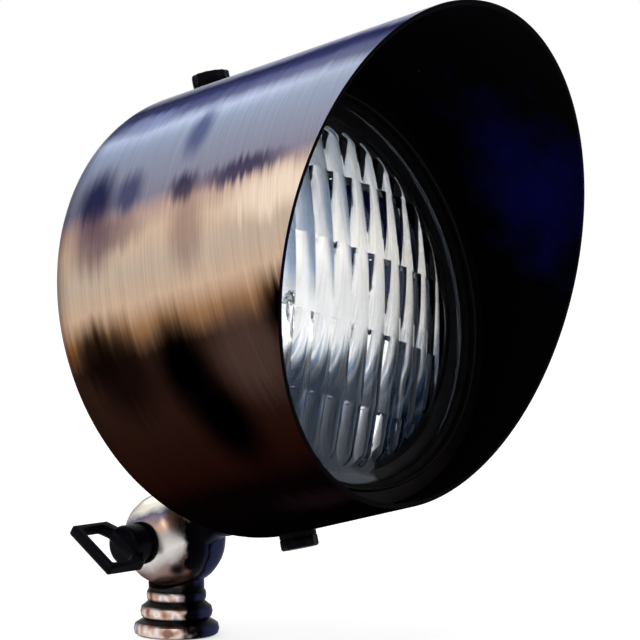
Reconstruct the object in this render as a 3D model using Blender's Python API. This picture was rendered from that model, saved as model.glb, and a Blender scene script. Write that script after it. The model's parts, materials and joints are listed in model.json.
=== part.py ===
# Brass landscape spotlight: a spun brass housing with an angled hood, a round
# sealed-beam lamp held by a ring and two thumb knobs, and a cast swivel knuckle
# on a beaded round base. Units are metres, +Z is up and the lamp faces -Y.
# The origin is the middle of the base's underside.

import math

import bmesh
import bpy
from mathutils import Matrix, Vector

# Fits
GAP = 0.0003
SCREW_CLEARANCE = 0.0006
OVERRUN = 0.004

# Pose of the head on the swivel, as photographed
TILT = math.radians(14.4)
STEM_ANGLE = math.radians(17.8)

# Housing: a spun cup whose front is cut on a slant, as wide as the lamp and its ring need
HOUSING_WALL = 0.0015
HOUSING_CORNER = 0.0198
HOUSING_TOP_LENGTH = 0.1229
HOUSING_BOTTOM_LENGTH = 0.0669

# Beaded base, from the bottom up: foot ring, middle bead, top bead, neck
FOOT_RADIUS = 0.0126
FOOT_HEIGHT = 0.0039
FOOT_EDGE = 0.0012
GROOVE_WIDTH = 0.0011
GROOVE_DEPTH = 0.0011
MIDDLE_BEAD_RADIUS = 0.01065
MIDDLE_BEAD_HEIGHT = 0.0040
TOP_BEAD_RADIUS = 0.0088
TOP_BEAD_HEIGHT = 0.0033
NECK_RADIUS = 0.0082
SOCKET_RADIUS = 0.0064
SOCKET_DEPTH = 0.0098

# Swivel knuckle: two domed halves with serrated faces
KNUCKLE_RADIUS = 0.0139
KNUCKLE_RIM = 0.0030
NEAR_DOME_DEPTH = 0.0119
FAR_DOME_DEPTH = 0.0098
DOME_SWELL = 0.0119
KNUCKLE_SEAT_RADIUS = 0.0066
KNUCKLE_ABOVE_BEADS = 0.0011
TOOTH_COUNT = 18
TOOTH_DEPTH = 0.0008
TOOTH_INNER_RADIUS = 0.0092
TOOTH_RELIEF = 0.0003
CHAMBER_RADIUS = 0.0080
CHAMBER_DEPTH = 0.0070
SWEEP_CLEARANCE = 0.00045
WIRE_BORE_RADIUS = 0.0022

# Stem between the knuckle and the housing
STEM_RADIUS = 0.0080
STEM_REACH = 0.0102
STEM_COLLAR_RADIUS = 0.0092
STEM_COLLAR_HEIGHT = 0.0034
STEM_FILLET = 0.0012
GASKET_THICKNESS = 0.0012
NIPPLE_RADIUS = 0.0049
NIPPLE_BORE_RADIUS = 0.0034
NIPPLE_BURIED_LENGTH = 0.0068
SADDLE_WASHER_THICKNESS = 0.0016
LOCK_NUT_WIDTH = 0.0138
LOCK_NUT_HEIGHT = 0.0036
NIPPLE_TIP = 0.0010

# Thumb screw through the knuckle
BOLT_RADIUS = 0.0030
BOLT_TIP_MARGIN = 0.0024
THREAD_DEPTH_BEYOND_TIP = 0.0009
THUMB_WASHER_RADIUS = 0.0062
THUMB_WASHER_THICKNESS = 0.0009
HUB_RADIUS = 0.0058
HUB_LENGTH = 0.0074
HUB_ROUNDING = 0.0011
HUB_SOCKET_DEPTH = 0.0046
HANDLE_WIDTH = 0.0192
HANDLE_REACH = 0.0132
HANDLE_SHOULDER = 0.0033
HANDLE_BAR = 0.0025
HANDLE_THICKNESS = 0.0035
HANDLE_EDGE = 0.0007
HANDLE_TURN = math.radians(55.3)

# Sealed-beam lamp: pressed glass lens fused to a glass reflector
LENS_FROM_BACK = 0.0543
LENS_RADIUS = 0.05715
LENS_FLANGE = 0.0030
LENS_FLANGE_WIDTH = 0.00165
LENS_MARGIN = 0.0055
LENS_CROWN = 0.0085
LENS_THICKNESS = 0.0030
LENS_TURN = math.radians(16.0)
FLUTE_COUNT = 14
FLUTE_HEIGHT = 0.0010
REFLECTOR_FLANGE = 0.0024
REFLECTOR_FLANGE_WIDTH = 0.00255
REFLECTOR_DEPTH = 0.0361
REFLECTOR_WALL = 0.0025
REFLECTOR_BOSS_RADIUS = 0.0170
REFLECTOR_BOSS_HEIGHT = 0.0040
CAPSULE_RADIUS = 0.0044
CAPSULE_LENGTH = 0.0190
HOLDER_RADIUS = 0.0062
HOLDER_HEIGHT = 0.0054
HOLDER_FLOOR = 0.0026

# Lamp ring, gasket and clamp ring, measured outwards from the lens's edge
GASKET_WALL = 0.00275
GASKET_LIP = 0.0016
GASKET_LIP_COVER = 0.00095
GASKET_REAR_LIP_COVER = 0.00155
RING_OPENING_MARGIN = 0.00045
RING_FLANGE_REACH = 0.0013
RING_PLATE = 0.0012
RING_BEAD_WIDTH = 0.0011
RING_BEAD_HEIGHT = 0.0010
RING_WALL_CLEARANCE = 0.0005
CLAMP_THICKNESS = 0.0015
RING_TAB_COUNT = 4
RING_TAB_DEPTH = 0.0026
RING_TAB_SEGMENTS = 2
RING_LIP = 0.0002
STRAP_WIDTH = 0.0090
STRAP_THICKNESS = 0.0016
STRAP_TAIL = 0.0046

# Thumb knobs that hold the lamp ring
KNOB_FROM_BACK = 0.0251
KNOB_RADIUS = 0.0056
KNOB_HEIGHT = 0.0031
KNOB_FLUTE_DEPTH = 0.0004
KNOB_FLUTES = 12
KNOB_CHAMFER = 0.0005
KNOB_SOCKET_DEPTH = 0.0020
KNOB_WASHER_RADIUS = 0.0049
KNOB_WASHER_THICKNESS = 0.0008
STUD_RADIUS = 0.0020
RING_NUT_WIDTH = 0.0070
RING_NUT_HEIGHT = 0.0042
STUD_TIP = 0.0008

# Lamp terminals and leads
TERMINAL_SPACING = 0.0220
POST_RADIUS = 0.0040
POST_HEIGHT = 0.0028
TERMINAL_SCREW_RADIUS = 0.0020
TERMINAL_HEAD_RADIUS = 0.0036
TERMINAL_HEAD_HEIGHT = 0.0022
TERMINAL_SCREW_LENGTH = 0.0034
SLOT_WIDTH = 0.0009
SLOT_DEPTH = 0.0010
EYELET_RADIUS = 0.0042
EYELET_THICKNESS = 0.0009
EYELET_TONGUE_WIDTH = 0.0034
BARREL_RADIUS = 0.0017
BARREL_LENGTH = 0.0060
BARREL_OFFSET = 0.0052
LEAD_RADIUS = 0.0010
LEAD_SPACING = 0.0028
LEAD_BEND_DROP = 0.0150
LEAD_BEND_FORWARD = 0.0100

# Facets
HOUSING_SEGMENTS = 64
LAMP_SEGMENTS = 40
KNUCKLE_SEGMENTS = 2 * TOOTH_COUNT
HUB_SEGMENTS = 24
SMALL_SEGMENTS = 14
NUT_SEGMENTS = 12
CORNER_STEPS = 5
DOME_STEPS = 4
BEAD_STEPS = 4
LENS_ROWS = 7
FLUTE_STEPS = 3
ROUTE_STEPS = 2
SMOOTH_ANGLE = math.radians(32.0)

# Sizes that follow from the ones above
LENS_DOME_RADIUS = LENS_RADIUS - LENS_FLANGE_WIDTH
FLUTE_FIELD_RADIUS = LENS_DOME_RADIUS - LENS_MARGIN
REFLECTOR_RADIUS = LENS_RADIUS - REFLECTOR_FLANGE_WIDTH
GASKET_LIP_RADIUS = LENS_RADIUS - GASKET_LIP_COVER
GASKET_REAR_LIP_RADIUS = LENS_RADIUS - GASKET_REAR_LIP_COVER
GASKET_RADIUS = LENS_RADIUS + GAP + GASKET_WALL
CLAMP_RADIUS = GASKET_LIP_RADIUS
RING_OPENING_RADIUS = LENS_RADIUS + RING_OPENING_MARGIN
RING_SKIRT_INNER = GASKET_RADIUS + GAP
RING_SKIRT_OUTER = RING_SKIRT_INNER + RING_PLATE
RING_FLANGE_RADIUS = RING_SKIRT_OUTER + RING_FLANGE_REACH
HOUSING_INNER_RADIUS = RING_FLANGE_RADIUS + RING_WALL_CLEARANCE
HOUSING_RADIUS = HOUSING_INNER_RADIUS + HOUSING_WALL
HOUSING_MIDDLE_LENGTH = (HOUSING_TOP_LENGTH + HOUSING_BOTTOM_LENGTH) / 2
HOOD_SLOPE = (HOUSING_TOP_LENGTH - HOUSING_BOTTOM_LENGTH) / (2 * HOUSING_RADIUS)
BEAD_STACK = FOOT_HEIGHT + MIDDLE_BEAD_HEIGHT + TOP_BEAD_HEIGHT + 2 * GROOVE_WIDTH
PIVOT_HEIGHT = BEAD_STACK + KNUCKLE_ABOVE_BEADS + KNUCKLE_RADIUS
DOME_MIDDLE = KNUCKLE_RADIUS - DOME_SWELL
DOME_SEAT_ANGLE = math.asin((KNUCKLE_SEAT_RADIUS - DOME_MIDDLE) / DOME_SWELL)
NEAR_HALF_WIDTH = KNUCKLE_RIM + NEAR_DOME_DEPTH * math.cos(DOME_SEAT_ANGLE)
FAR_HALF_WIDTH = KNUCKLE_RIM + FAR_DOME_DEPTH * math.cos(DOME_SEAT_ANGLE)
FACE_OFFSET = GAP / 2
TOOTH_ROOT = FACE_OFFSET + TOOTH_DEPTH
FACE_LAND = TOOTH_ROOT + TOOTH_RELIEF
SWEEP_RADIUS = KNUCKLE_RADIUS + SWEEP_CLEARANCE
HOUSING_FROM_PIVOT = KNUCKLE_RADIUS + STEM_REACH
CORNER_FROM_PIVOT = HOUSING_FROM_PIVOT + HOUSING_CORNER
BACK_AHEAD_OF_PIVOT = CORNER_FROM_PIVOT * math.cos(STEM_ANGLE) - HOUSING_CORNER
AXIS_ABOVE_PIVOT = CORNER_FROM_PIVOT * math.sin(STEM_ANGLE) + HOUSING_RADIUS - HOUSING_CORNER
SEAT_DISTANCE = HOUSING_FROM_PIVOT - GAP - GASKET_THICKNESS - GAP
INNER_SEAT_DISTANCE = HOUSING_FROM_PIVOT + HOUSING_WALL + GAP
LOCK_NUT_START = INNER_SEAT_DISTANCE + SADDLE_WASHER_THICKNESS + GAP
NIPPLE_START = SEAT_DISTANCE - NIPPLE_BURIED_LENGTH
NIPPLE_END = LOCK_NUT_START + LOCK_NUT_HEIGHT + NIPPLE_TIP

GASKET_FRONT = LENS_FROM_BACK + GAP + GASKET_LIP
LENS_BACK = LENS_FROM_BACK - LENS_FLANGE
REFLECTOR_FRONT = LENS_BACK - GAP
REFLECTOR_FLANGE_BACK = REFLECTOR_FRONT - REFLECTOR_FLANGE
GASKET_BACK = REFLECTOR_FLANGE_BACK - GAP - GASKET_LIP
REFLECTOR_BACK = REFLECTOR_FLANGE_BACK - REFLECTOR_DEPTH
RING_PLATE_BACK = GASKET_FRONT + GAP
RING_PLATE_FRONT = RING_PLATE_BACK + RING_PLATE
CLAMP_FRONT = GASKET_BACK - GAP
CLAMP_BACK = CLAMP_FRONT - CLAMP_THICKNESS
TAB_FRONT = CLAMP_BACK - GAP
TAB_BACK = TAB_FRONT - RING_PLATE
STRAP_OUTER = HOUSING_INNER_RADIUS - GAP
STRAP_INNER = min(STRAP_OUTER - STRAP_THICKNESS, RING_SKIRT_OUTER - RING_PLATE / 4)
STRAP_END = KNOB_FROM_BACK - STRAP_TAIL
RING_NUT_TOP = STRAP_INNER * math.cos(STRAP_WIDTH / STRAP_INNER / 2) - GAP
KNOB_WASHER_START = HOUSING_RADIUS + GAP
KNOB_START = KNOB_WASHER_START + KNOB_WASHER_THICKNESS + GAP
STUD_HOLE_RADIUS = STUD_RADIUS + SCREW_CLEARANCE

THUMB_WASHER_START = NEAR_HALF_WIDTH + GAP
HUB_START = THUMB_WASHER_START + THUMB_WASHER_THICKNESS + GAP
HUB_END = HUB_START + HUB_LENGTH
HANDLE_END = HUB_END + HANDLE_REACH


# Modelling helpers


def clear_scene():
    """Remove every object of the open scene."""
    for item in list(bpy.data.objects):
        bpy.data.objects.remove(item)


def finish_material(name, colour, roughness, metallic, transmission=0.0):
    """A Principled BSDF with the finish's colour, roughness and metallic value."""
    material = bpy.data.materials.new(name)
    material.use_nodes = True
    shader = material.node_tree.nodes["Principled BSDF"]
    shader.inputs["Base Color"].default_value = (*colour, 1.0)
    shader.inputs["Roughness"].default_value = roughness
    shader.inputs["Metallic"].default_value = metallic
    shader.inputs["Transmission Weight"].default_value = transmission
    material.diffuse_color = (*colour, 1.0)
    return material


def add_frame(name, matrix, parent=None):
    """An empty that carries the pieces of one axis."""
    frame = bpy.data.objects.new(name, None)
    bpy.context.scene.collection.objects.link(frame)
    frame.parent = parent
    frame.matrix_basis = matrix
    return frame


def add_piece(name, shape, material, parent, matrix=Matrix.Identity(4)):
    """Make an object from a bmesh, smooth its round faces and place it under its frame."""
    bmesh.ops.recalc_face_normals(shape, faces=shape.faces)
    mesh = bpy.data.meshes.new(name)
    shape.to_mesh(mesh)
    shape.free()
    mesh.shade_smooth()
    mesh.set_sharp_from_angle(angle=SMOOTH_ANGLE)
    if material:
        mesh.materials.append(material)
    piece = bpy.data.objects.new(name, mesh)
    bpy.context.scene.collection.objects.link(piece)
    piece.parent = parent
    piece.matrix_basis = matrix
    return piece


def combine(piece, tool, operation):
    """Cut, join or intersect a piece with a tool, which is then only a guide."""
    tool.hide_render = True
    tool.display_type = "WIRE"
    change = piece.modifiers.new(tool.name, "BOOLEAN")
    change.operation = operation
    change.solver = "EXACT"
    change.object = tool


def arc(centre, radii, start, end, steps):
    """Points (height, radius) along an ellipse's arc; angles are from the axis direction."""
    points = []
    for step in range(steps + 1):
        angle = start + (end - start) * step / steps
        height = centre[0] + radii[0] * math.cos(angle)
        radius = centre[1] + radii[1] * math.sin(angle)
        points.append((height, radius))
    return points


def turned(outline, segments, closed=False, lift=None, swell=None):
    """Turn an outline of (height, radius) points about Z.

    An open outline starts and ends on the axis and a closed one makes a ring. lift gives
    a height to add, and swell a share of the radius, for an outline point and a segment.
    """
    shape = bmesh.new()
    loops = []
    for index, (height, radius) in enumerate(outline):
        if radius == 0:
            loops.append([shape.verts.new((0, 0, height))] * segments)
            continue
        loop = []
        for segment in range(segments):
            angle = math.tau * segment / segments
            z = height + (lift(index, segment) if lift else 0)
            r = radius * (swell(index, segment) if swell else 1)
            loop.append(shape.verts.new((r * math.cos(angle), r * math.sin(angle), z)))
        loops.append(loop)
    followers = loops[1:] + (loops[:1] if closed else [])
    for lower, upper in zip(loops, followers):
        for segment in range(segments):
            after = (segment + 1) % segments
            corners = [lower[segment], lower[after], upper[after], upper[segment]]
            corners = list(dict.fromkeys(corners))
            if len(corners) > 2:
                shape.faces.new(corners)
    return shape


def sector(outline, middle, width, steps):
    """Turn a closed outline through part of a circle, with flat ends."""
    shape = bmesh.new()
    loops = []
    for step in range(steps + 1):
        angle = middle + width * (step / steps - 0.5)
        loop = [shape.verts.new((r * math.cos(angle), r * math.sin(angle), z)) for z, r in outline]
        loops.append(loop)
    for first, second in zip(loops, loops[1:]):
        for index in range(len(outline)):
            after = (index + 1) % len(outline)
            shape.faces.new([first[index], first[after], second[after], second[index]])
    shape.faces.new(loops[0])
    shape.faces.new(loops[-1])
    return shape


def cylinder(radius, start, end, segments=SMALL_SEGMENTS):
    """A plain round bar along Z."""
    return turned([(start, 0), (start, radius), (end, radius), (end, 0)], segments)


def tube(outer, inner, start, end, segments=SMALL_SEGMENTS):
    """A plain round tube along Z."""
    outline = [(start, inner), (start, outer), (end, outer), (end, inner)]
    return turned(outline, segments, closed=True)


def hexagon(width, bore, start, end):
    """A hexagonal nut along Z, its corners chamfered by turning."""
    corner = width / math.sqrt(3)
    chamfer = (corner - width / 2) / 2
    outline = [
        (start, bore),
        (start, width / 2),
        (start + chamfer, corner),
        (end - chamfer, corner),
        (end, width / 2),
        (end, bore),
    ]

    def flats(index, segment):
        if index in (0, len(outline) - 1):
            return 1
        place = math.tau * segment / NUT_SEGMENTS
        off_flat = (place + math.pi / 6) % (math.pi / 3) - math.pi / 6
        reach = width / 2 / math.cos(off_flat)
        return min(1, reach / outline[index][1])

    return turned(outline, NUT_SEGMENTS, closed=True, swell=flats)


def along(start, end):
    """A frame at start whose Z axis points to end."""
    direction = Vector(end) - Vector(start)
    turn = direction.to_track_quat("Z", "Y").to_matrix().to_4x4()
    return Matrix.Translation(start) @ turn


# Frames: the swivel axis carries the head, and the head carries the lamp's axis and the stem's


def add_frames():
    """Empties on the axes that the pieces are placed from."""
    pivot = Matrix.Translation((0, 0, PIVOT_HEIGHT))
    base = add_frame("base_axis", Matrix.Identity(4))
    base_pivot = add_frame("base_pivot", pivot)
    bolt = add_frame("bolt_axis", pivot @ Matrix.Rotation(math.pi / 2, 4, "Y"))
    head = add_frame("head_pivot", pivot @ Matrix.Rotation(-TILT, 4, "X"))
    head_bolt = add_frame("head_bolt_axis", Matrix.Rotation(math.pi / 2, 4, "Y"), head)
    stem = add_frame("stem_axis", Matrix.Rotation(math.pi / 2 - STEM_ANGLE, 4, "X"), head)
    lamp_place = Matrix.Translation((0, -BACK_AHEAD_OF_PIVOT, AXIS_ABOVE_PIVOT))
    lamp = add_frame("lamp_axis", lamp_place @ Matrix.Rotation(math.pi / 2, 4, "X"), head)
    knob_place = Matrix.Translation((0, 0, KNOB_FROM_BACK))
    top = add_frame("knob_axis_top", knob_place @ Matrix.Rotation(-math.pi / 2, 4, "X"), lamp)
    bottom = add_frame("knob_axis_bottom", knob_place @ Matrix.Rotation(math.pi / 2, 4, "X"), lamp)
    return {
        "base": base,
        "base_pivot": base_pivot,
        "bolt": bolt,
        "head": head,
        "head_bolt": head_bolt,
        "stem": stem,
        "lamp": lamp,
        "knobs": {"top": top, "bottom": bottom},
    }


# Housing


def cup_outline(inset):
    """Rear part of the housing's outline, inset from its outside, up to the corner's end."""
    corner = HOUSING_CORNER - inset
    centre = (HOUSING_CORNER, HOUSING_RADIUS - HOUSING_CORNER)
    points = [(inset, 0)]
    points += arc(centre, (corner, corner), math.pi, math.pi / 2, CORNER_STEPS)
    return points


def housing_plug(name, inset, frames, material=None):
    """The rear of the housing as a solid plug, inset from the outside, to cut seats with."""
    outline = cup_outline(inset)
    front = 2 * HOUSING_CORNER
    outline += [(front, HOUSING_RADIUS - inset), (front, 0)]
    return add_piece(name, turned(outline, HOUSING_SEGMENTS), material, frames["lamp"])


def add_housing(frames, finishes):
    """The spun cup, its front cut on a slant to leave the hood."""
    outside = cup_outline(0) + [(HOUSING_MIDDLE_LENGTH, HOUSING_RADIUS)]
    inside = cup_outline(HOUSING_WALL) + [(HOUSING_MIDDLE_LENGTH, HOUSING_INNER_RADIUS)]
    outline = outside + inside[::-1]
    rims = (len(outside) - 1, len(outside))

    def slant(index, segment):
        if index not in rims:
            return 0
        return HOOD_SLOPE * outline[index][1] * math.sin(math.tau * segment / HOUSING_SEGMENTS)

    shape = turned(outline, HOUSING_SEGMENTS, lift=slant)
    housing = add_piece("housing_shell", shape, finishes["housing"], frames["lamp"])
    reach = HOUSING_RADIUS + OVERRUN
    holes = cylinder(STUD_HOLE_RADIUS, -reach, reach)
    stud_holes = add_piece("stud_hole_guide", holes, None, frames["knobs"]["top"])
    combine(housing, stud_holes, "DIFFERENCE")
    entry = cylinder(NIPPLE_RADIUS + GAP, SEAT_DISTANCE, NIPPLE_END)
    combine(housing, add_piece("stem_hole_guide", entry, None, frames["stem"]), "DIFFERENCE")
    return stud_holes


# Swivel knuckle and base


def tooth_lift(indices, side):
    """Raise every other corner of the serrated ring's two circles."""

    def lift(index, segment):
        return side * TOOTH_DEPTH * (segment % 2) if index in indices else 0

    return lift


def knuckle_half(side, bore, inner_end):
    """One domed half turned about the pivot, its serrated face towards the other half."""
    dome_centre = (KNUCKLE_RIM, DOME_MIDDLE)
    half_width = FAR_HALF_WIDTH if side > 0 else NEAR_HALF_WIDTH
    dome_radii = (FAR_DOME_DEPTH if side > 0 else NEAR_DOME_DEPTH, DOME_SWELL)
    face = [
        (FACE_LAND, CHAMBER_RADIUS),
        (FACE_LAND, TOOTH_INNER_RADIUS),
        (FACE_OFFSET, TOOTH_INNER_RADIUS),
        (FACE_OFFSET, KNUCKLE_RADIUS - TOOTH_RELIEF),
        (FACE_LAND, KNUCKLE_RADIUS),
    ]
    teeth = (2, 3)
    dome = arc(dome_centre, dome_radii, math.pi / 2, DOME_SEAT_ANGLE, DOME_STEPS)
    if inner_end is None:
        outline = face + dome + [(half_width, bore), (CHAMBER_DEPTH, bore)]
        outline.append((CHAMBER_DEPTH, CHAMBER_RADIUS))
        closed = True
    else:
        back = [(inner_end, 0), (inner_end, bore), (CHAMBER_DEPTH, bore), (CHAMBER_DEPTH, CHAMBER_RADIUS)]
        outline = back + face + dome + [(half_width, 0)]
        teeth = tuple(index + len(back) for index in teeth)
        closed = False
    outline = [(side * height, radius) for height, radius in outline]
    return turned(outline, KNUCKLE_SEGMENTS, closed=closed, lift=tooth_lift(teeth, side))


def arm_relief(name, side, parent):
    """Room for the other half to turn in: cut out of the arm that grows from this half."""
    start = side * FACE_LAND
    end = -side * (NEAR_HALF_WIDTH + OVERRUN)
    return add_piece(name, cylinder(SWEEP_RADIUS, start, end, KNUCKLE_SEGMENTS), None, parent)


def slanted_bore(name, side, direction, parent):
    """The wire's way from the arm's own bore to the chamber round the bolt."""
    outer_reach = SWEEP_RADIUS + 2 * WIRE_BORE_RADIUS
    offset = FACE_LAND + WIRE_BORE_RADIUS
    outer = direction * outer_reach + Vector((side * offset, 0, 0))
    inner = direction * (CHAMBER_RADIUS - WIRE_BORE_RADIUS)
    inner = inner + Vector((side * (CHAMBER_DEPTH - WIRE_BORE_RADIUS), 0, 0))
    shape = cylinder(WIRE_BORE_RADIUS, 0, (inner - outer).length)
    return add_piece(name, shape, None, parent, along(outer, inner))


def bead(bottom, height, radius, groove_radius):
    """A half-round bead between two grooves, as (height, radius) points."""
    half = height / 2
    depth = radius - groove_radius
    return arc((bottom + half, groove_radius), (half, depth), math.pi, 0, BEAD_STEPS)


def add_lower_knuckle(frames, finishes):
    """Far half of the knuckle with the neck and the beaded base below it."""
    foot_corner = FOOT_RADIUS - FOOT_EDGE
    foot = arc((FOOT_HEIGHT / 2, foot_corner), (FOOT_HEIGHT / 2, FOOT_EDGE), math.pi, 0, BEAD_STEPS)
    middle_bottom = FOOT_HEIGHT + GROOVE_WIDTH
    top_bottom = middle_bottom + MIDDLE_BEAD_HEIGHT + GROOVE_WIDTH
    middle = bead(middle_bottom, MIDDLE_BEAD_HEIGHT, MIDDLE_BEAD_RADIUS, MIDDLE_BEAD_RADIUS - GROOVE_DEPTH)
    top = bead(top_bottom, TOP_BEAD_HEIGHT, TOP_BEAD_RADIUS, TOP_BEAD_RADIUS - GROOVE_DEPTH / 2)
    neck_top = PIVOT_HEIGHT - TOOTH_INNER_RADIUS
    socket_wire = (SOCKET_DEPTH, WIRE_BORE_RADIUS)
    wire_top = PIVOT_HEIGHT - SWEEP_RADIUS - WIRE_BORE_RADIUS
    outline = [(wire_top, 0), (wire_top, WIRE_BORE_RADIUS), socket_wire]
    outline += [(SOCKET_DEPTH, SOCKET_RADIUS), (0, SOCKET_RADIUS)]
    outline += foot + middle + top
    outline += [(BEAD_STACK, NECK_RADIUS), (neck_top, NECK_RADIUS), (neck_top, 0)]
    shape = turned(outline, KNUCKLE_SEGMENTS)
    lower = add_piece("knuckle_lower", shape, finishes["brass"], frames["base"])
    combine(lower, arm_relief("lower_relief_guide", 1, frames["bolt"]), "DIFFERENCE")
    thread_end = FAR_HALF_WIDTH - BOLT_TIP_MARGIN
    half = knuckle_half(1, BOLT_RADIUS + GAP, thread_end)
    combine(lower, add_piece("lower_half_guide", half, None, frames["bolt"]), "UNION")
    down = Vector((0, 0, -1))
    combine(lower, slanted_bore("lower_bore_guide", 1, down, frames["base_pivot"]), "DIFFERENCE")


def add_upper_knuckle(frames, finishes):
    """Near half of the knuckle with the stem that carries the housing."""
    half = knuckle_half(-1, BOLT_RADIUS + SCREW_CLEARANCE, None)
    upper = add_piece("knuckle_upper", half, finishes["brass"], frames["head_bolt"])
    end = HOUSING_FROM_PIVOT + HOUSING_CORNER
    collar = SEAT_DISTANCE - STEM_COLLAR_HEIGHT
    outline = [
        (TOOTH_INNER_RADIUS, 0),
        (TOOTH_INNER_RADIUS, STEM_RADIUS),
        (collar - STEM_FILLET, STEM_RADIUS),
        (collar, STEM_COLLAR_RADIUS),
        (end, STEM_COLLAR_RADIUS),
        (end, 0),
    ]
    stem = add_piece("stem_guide", turned(outline, KNUCKLE_SEGMENTS), None, frames["stem"])
    combine(stem, arm_relief("upper_relief_guide", -1, frames["head_bolt"]), "DIFFERENCE")
    seat_inset = -(GAP + GASKET_THICKNESS + GAP)
    combine(stem, housing_plug("stem_seat_guide", seat_inset, frames), "DIFFERENCE")
    combine(upper, stem, "UNION")
    bore = cylinder(NIPPLE_RADIUS + GAP, NIPPLE_START - GAP, HOUSING_FROM_PIVOT)
    combine(upper, add_piece("stem_bore_guide", bore, None, frames["stem"]), "DIFFERENCE")
    forward = Vector((0, -math.cos(STEM_ANGLE), math.sin(STEM_ANGLE)))
    combine(upper, slanted_bore("upper_bore_guide", -1, forward, frames["head"]), "DIFFERENCE")


# Stem fittings


def add_stem_fittings(frames, finishes):
    """Gasket outside the wall, and saddle washer, lock nut and hollow nipple inside it."""
    ring = tube(STEM_COLLAR_RADIUS, NIPPLE_RADIUS + GAP, NIPPLE_START, HOUSING_FROM_PIVOT + HOUSING_CORNER / 2)
    gasket = add_piece("stem_gasket", ring, finishes["rubber"], frames["stem"])
    combine(gasket, housing_plug("gasket_outer_guide", -(GAP + GASKET_THICKNESS), frames), "INTERSECT")
    combine(gasket, housing_plug("gasket_inner_guide", -GAP, frames), "DIFFERENCE")
    washer_radius = LOCK_NUT_WIDTH / math.sqrt(3)
    washer_end = INNER_SEAT_DISTANCE + SADDLE_WASHER_THICKNESS
    ring = tube(washer_radius, NIPPLE_RADIUS + GAP, SEAT_DISTANCE, washer_end)
    washer = add_piece("saddle_washer", ring, finishes["zinc"], frames["stem"])
    combine(washer, housing_plug("washer_guide", HOUSING_WALL + GAP, frames), "INTERSECT")
    nut = hexagon(LOCK_NUT_WIDTH, NIPPLE_RADIUS + GAP, LOCK_NUT_START, LOCK_NUT_START + LOCK_NUT_HEIGHT)
    add_piece("stem_lock_nut", nut, finishes["zinc"], frames["stem"])
    nipple = tube(NIPPLE_RADIUS, NIPPLE_BORE_RADIUS, NIPPLE_START, NIPPLE_END)
    add_piece("stem_nipple", nipple, finishes["brass"], frames["stem"])


# Thumb screw


def handle_loop():
    """The flat stirrup: a six-sided plate with a six-sided window, its edges softened."""
    half = HANDLE_WIDTH / 2
    inner = half - HANDLE_BAR
    shoulder = HUB_END - HANDLE_EDGE
    root = HUB_RADIUS - HANDLE_EDGE
    window_start = HUB_END + HANDLE_EDGE
    window_shoulder = window_start + HANDLE_BAR - HANDLE_EDGE
    outer_side = [(shoulder - HANDLE_SHOULDER, root), (shoulder, half), (HANDLE_END, half)]
    inner_side = [(window_start, root), (window_shoulder, inner), (HANDLE_END - HANDLE_BAR, inner)]
    loops = []
    for side in (outer_side, inner_side):
        outline = side + [(height, -width) for height, width in side[::-1]]
        loops.append(outline)
    shape = bmesh.new()
    rings = []
    for outline in loops:
        for level in (-HANDLE_THICKNESS / 2, HANDLE_THICKNESS / 2):
            rings.append([shape.verts.new((width, level, -height)) for height, width in outline])
    outer_low, outer_high, inner_low, inner_high = rings
    count = len(outer_low)
    for index in range(count):
        after = (index + 1) % count
        shape.faces.new([outer_low[index], outer_low[after], outer_high[after], outer_high[index]])
        shape.faces.new([inner_low[index], inner_high[index], inner_high[after], inner_low[after]])
        shape.faces.new([outer_low[index], inner_low[index], inner_low[after], outer_low[after]])
        shape.faces.new([outer_high[index], outer_high[after], inner_high[after], inner_high[index]])
    bmesh.ops.recalc_face_normals(shape, faces=shape.faces)
    edges = [edge for edge in shape.edges if edge.calc_face_angle(0) > SMOOTH_ANGLE]
    bmesh.ops.bevel(shape, geom=edges, offset=HANDLE_EDGE, segments=1, affect="EDGES")
    return shape


def add_thumb_screw(frames, finishes):
    """Hub and stirrup moulded on the bolt, and the washer under the hub."""
    bolt = frames["bolt"]
    head = -(HUB_START + HUB_SOCKET_DEPTH - GAP)
    tip = FAR_HALF_WIDTH - BOLT_TIP_MARGIN - THREAD_DEPTH_BEYOND_TIP
    chamfer = BOLT_RADIUS / 6
    outline = [
        (head, 0),
        (head, BOLT_RADIUS),
        (tip - chamfer, BOLT_RADIUS),
        (tip, BOLT_RADIUS - chamfer),
        (tip, 0),
    ]
    add_piece("thumbscrew_bolt", turned(outline, HUB_SEGMENTS), finishes["zinc"], bolt)
    start = -THUMB_WASHER_START
    washer_end = start - THUMB_WASHER_THICKNESS
    washer = tube(THUMB_WASHER_RADIUS, BOLT_RADIUS + GAP, washer_end, start, HUB_SEGMENTS)
    add_piece("thumbscrew_washer", washer, finishes["zinc"], bolt)
    socket = HUB_START + HUB_SOCKET_DEPTH
    outline = [(HUB_START, 0)]
    rounding = (HUB_ROUNDING, HUB_ROUNDING)
    inner_corner = (HUB_START + HUB_ROUNDING, HUB_RADIUS - HUB_ROUNDING)
    outline += arc(inner_corner, rounding, math.pi, math.pi / 2, 3)
    outer_corner = (HUB_END - HUB_ROUNDING, HUB_RADIUS - HUB_ROUNDING)
    outline += arc(outer_corner, rounding, math.pi / 2, 0, 3)
    outline.append((HUB_END, 0))
    outline = [(-height, radius) for height, radius in outline]
    hub = add_piece("thumbscrew_handle", turned(outline, HUB_SEGMENTS), finishes["knob"], bolt)
    turn = Matrix.Rotation(-HANDLE_TURN, 4, "Z")
    loop = add_piece("handle_loop_guide", handle_loop(), None, bolt, turn)
    combine(hub, loop, "UNION")
    bore = cylinder(BOLT_RADIUS + GAP, -socket, -THUMB_WASHER_START)
    combine(hub, add_piece("hub_socket_guide", bore, None, bolt), "DIFFERENCE")


# Lamp


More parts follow.
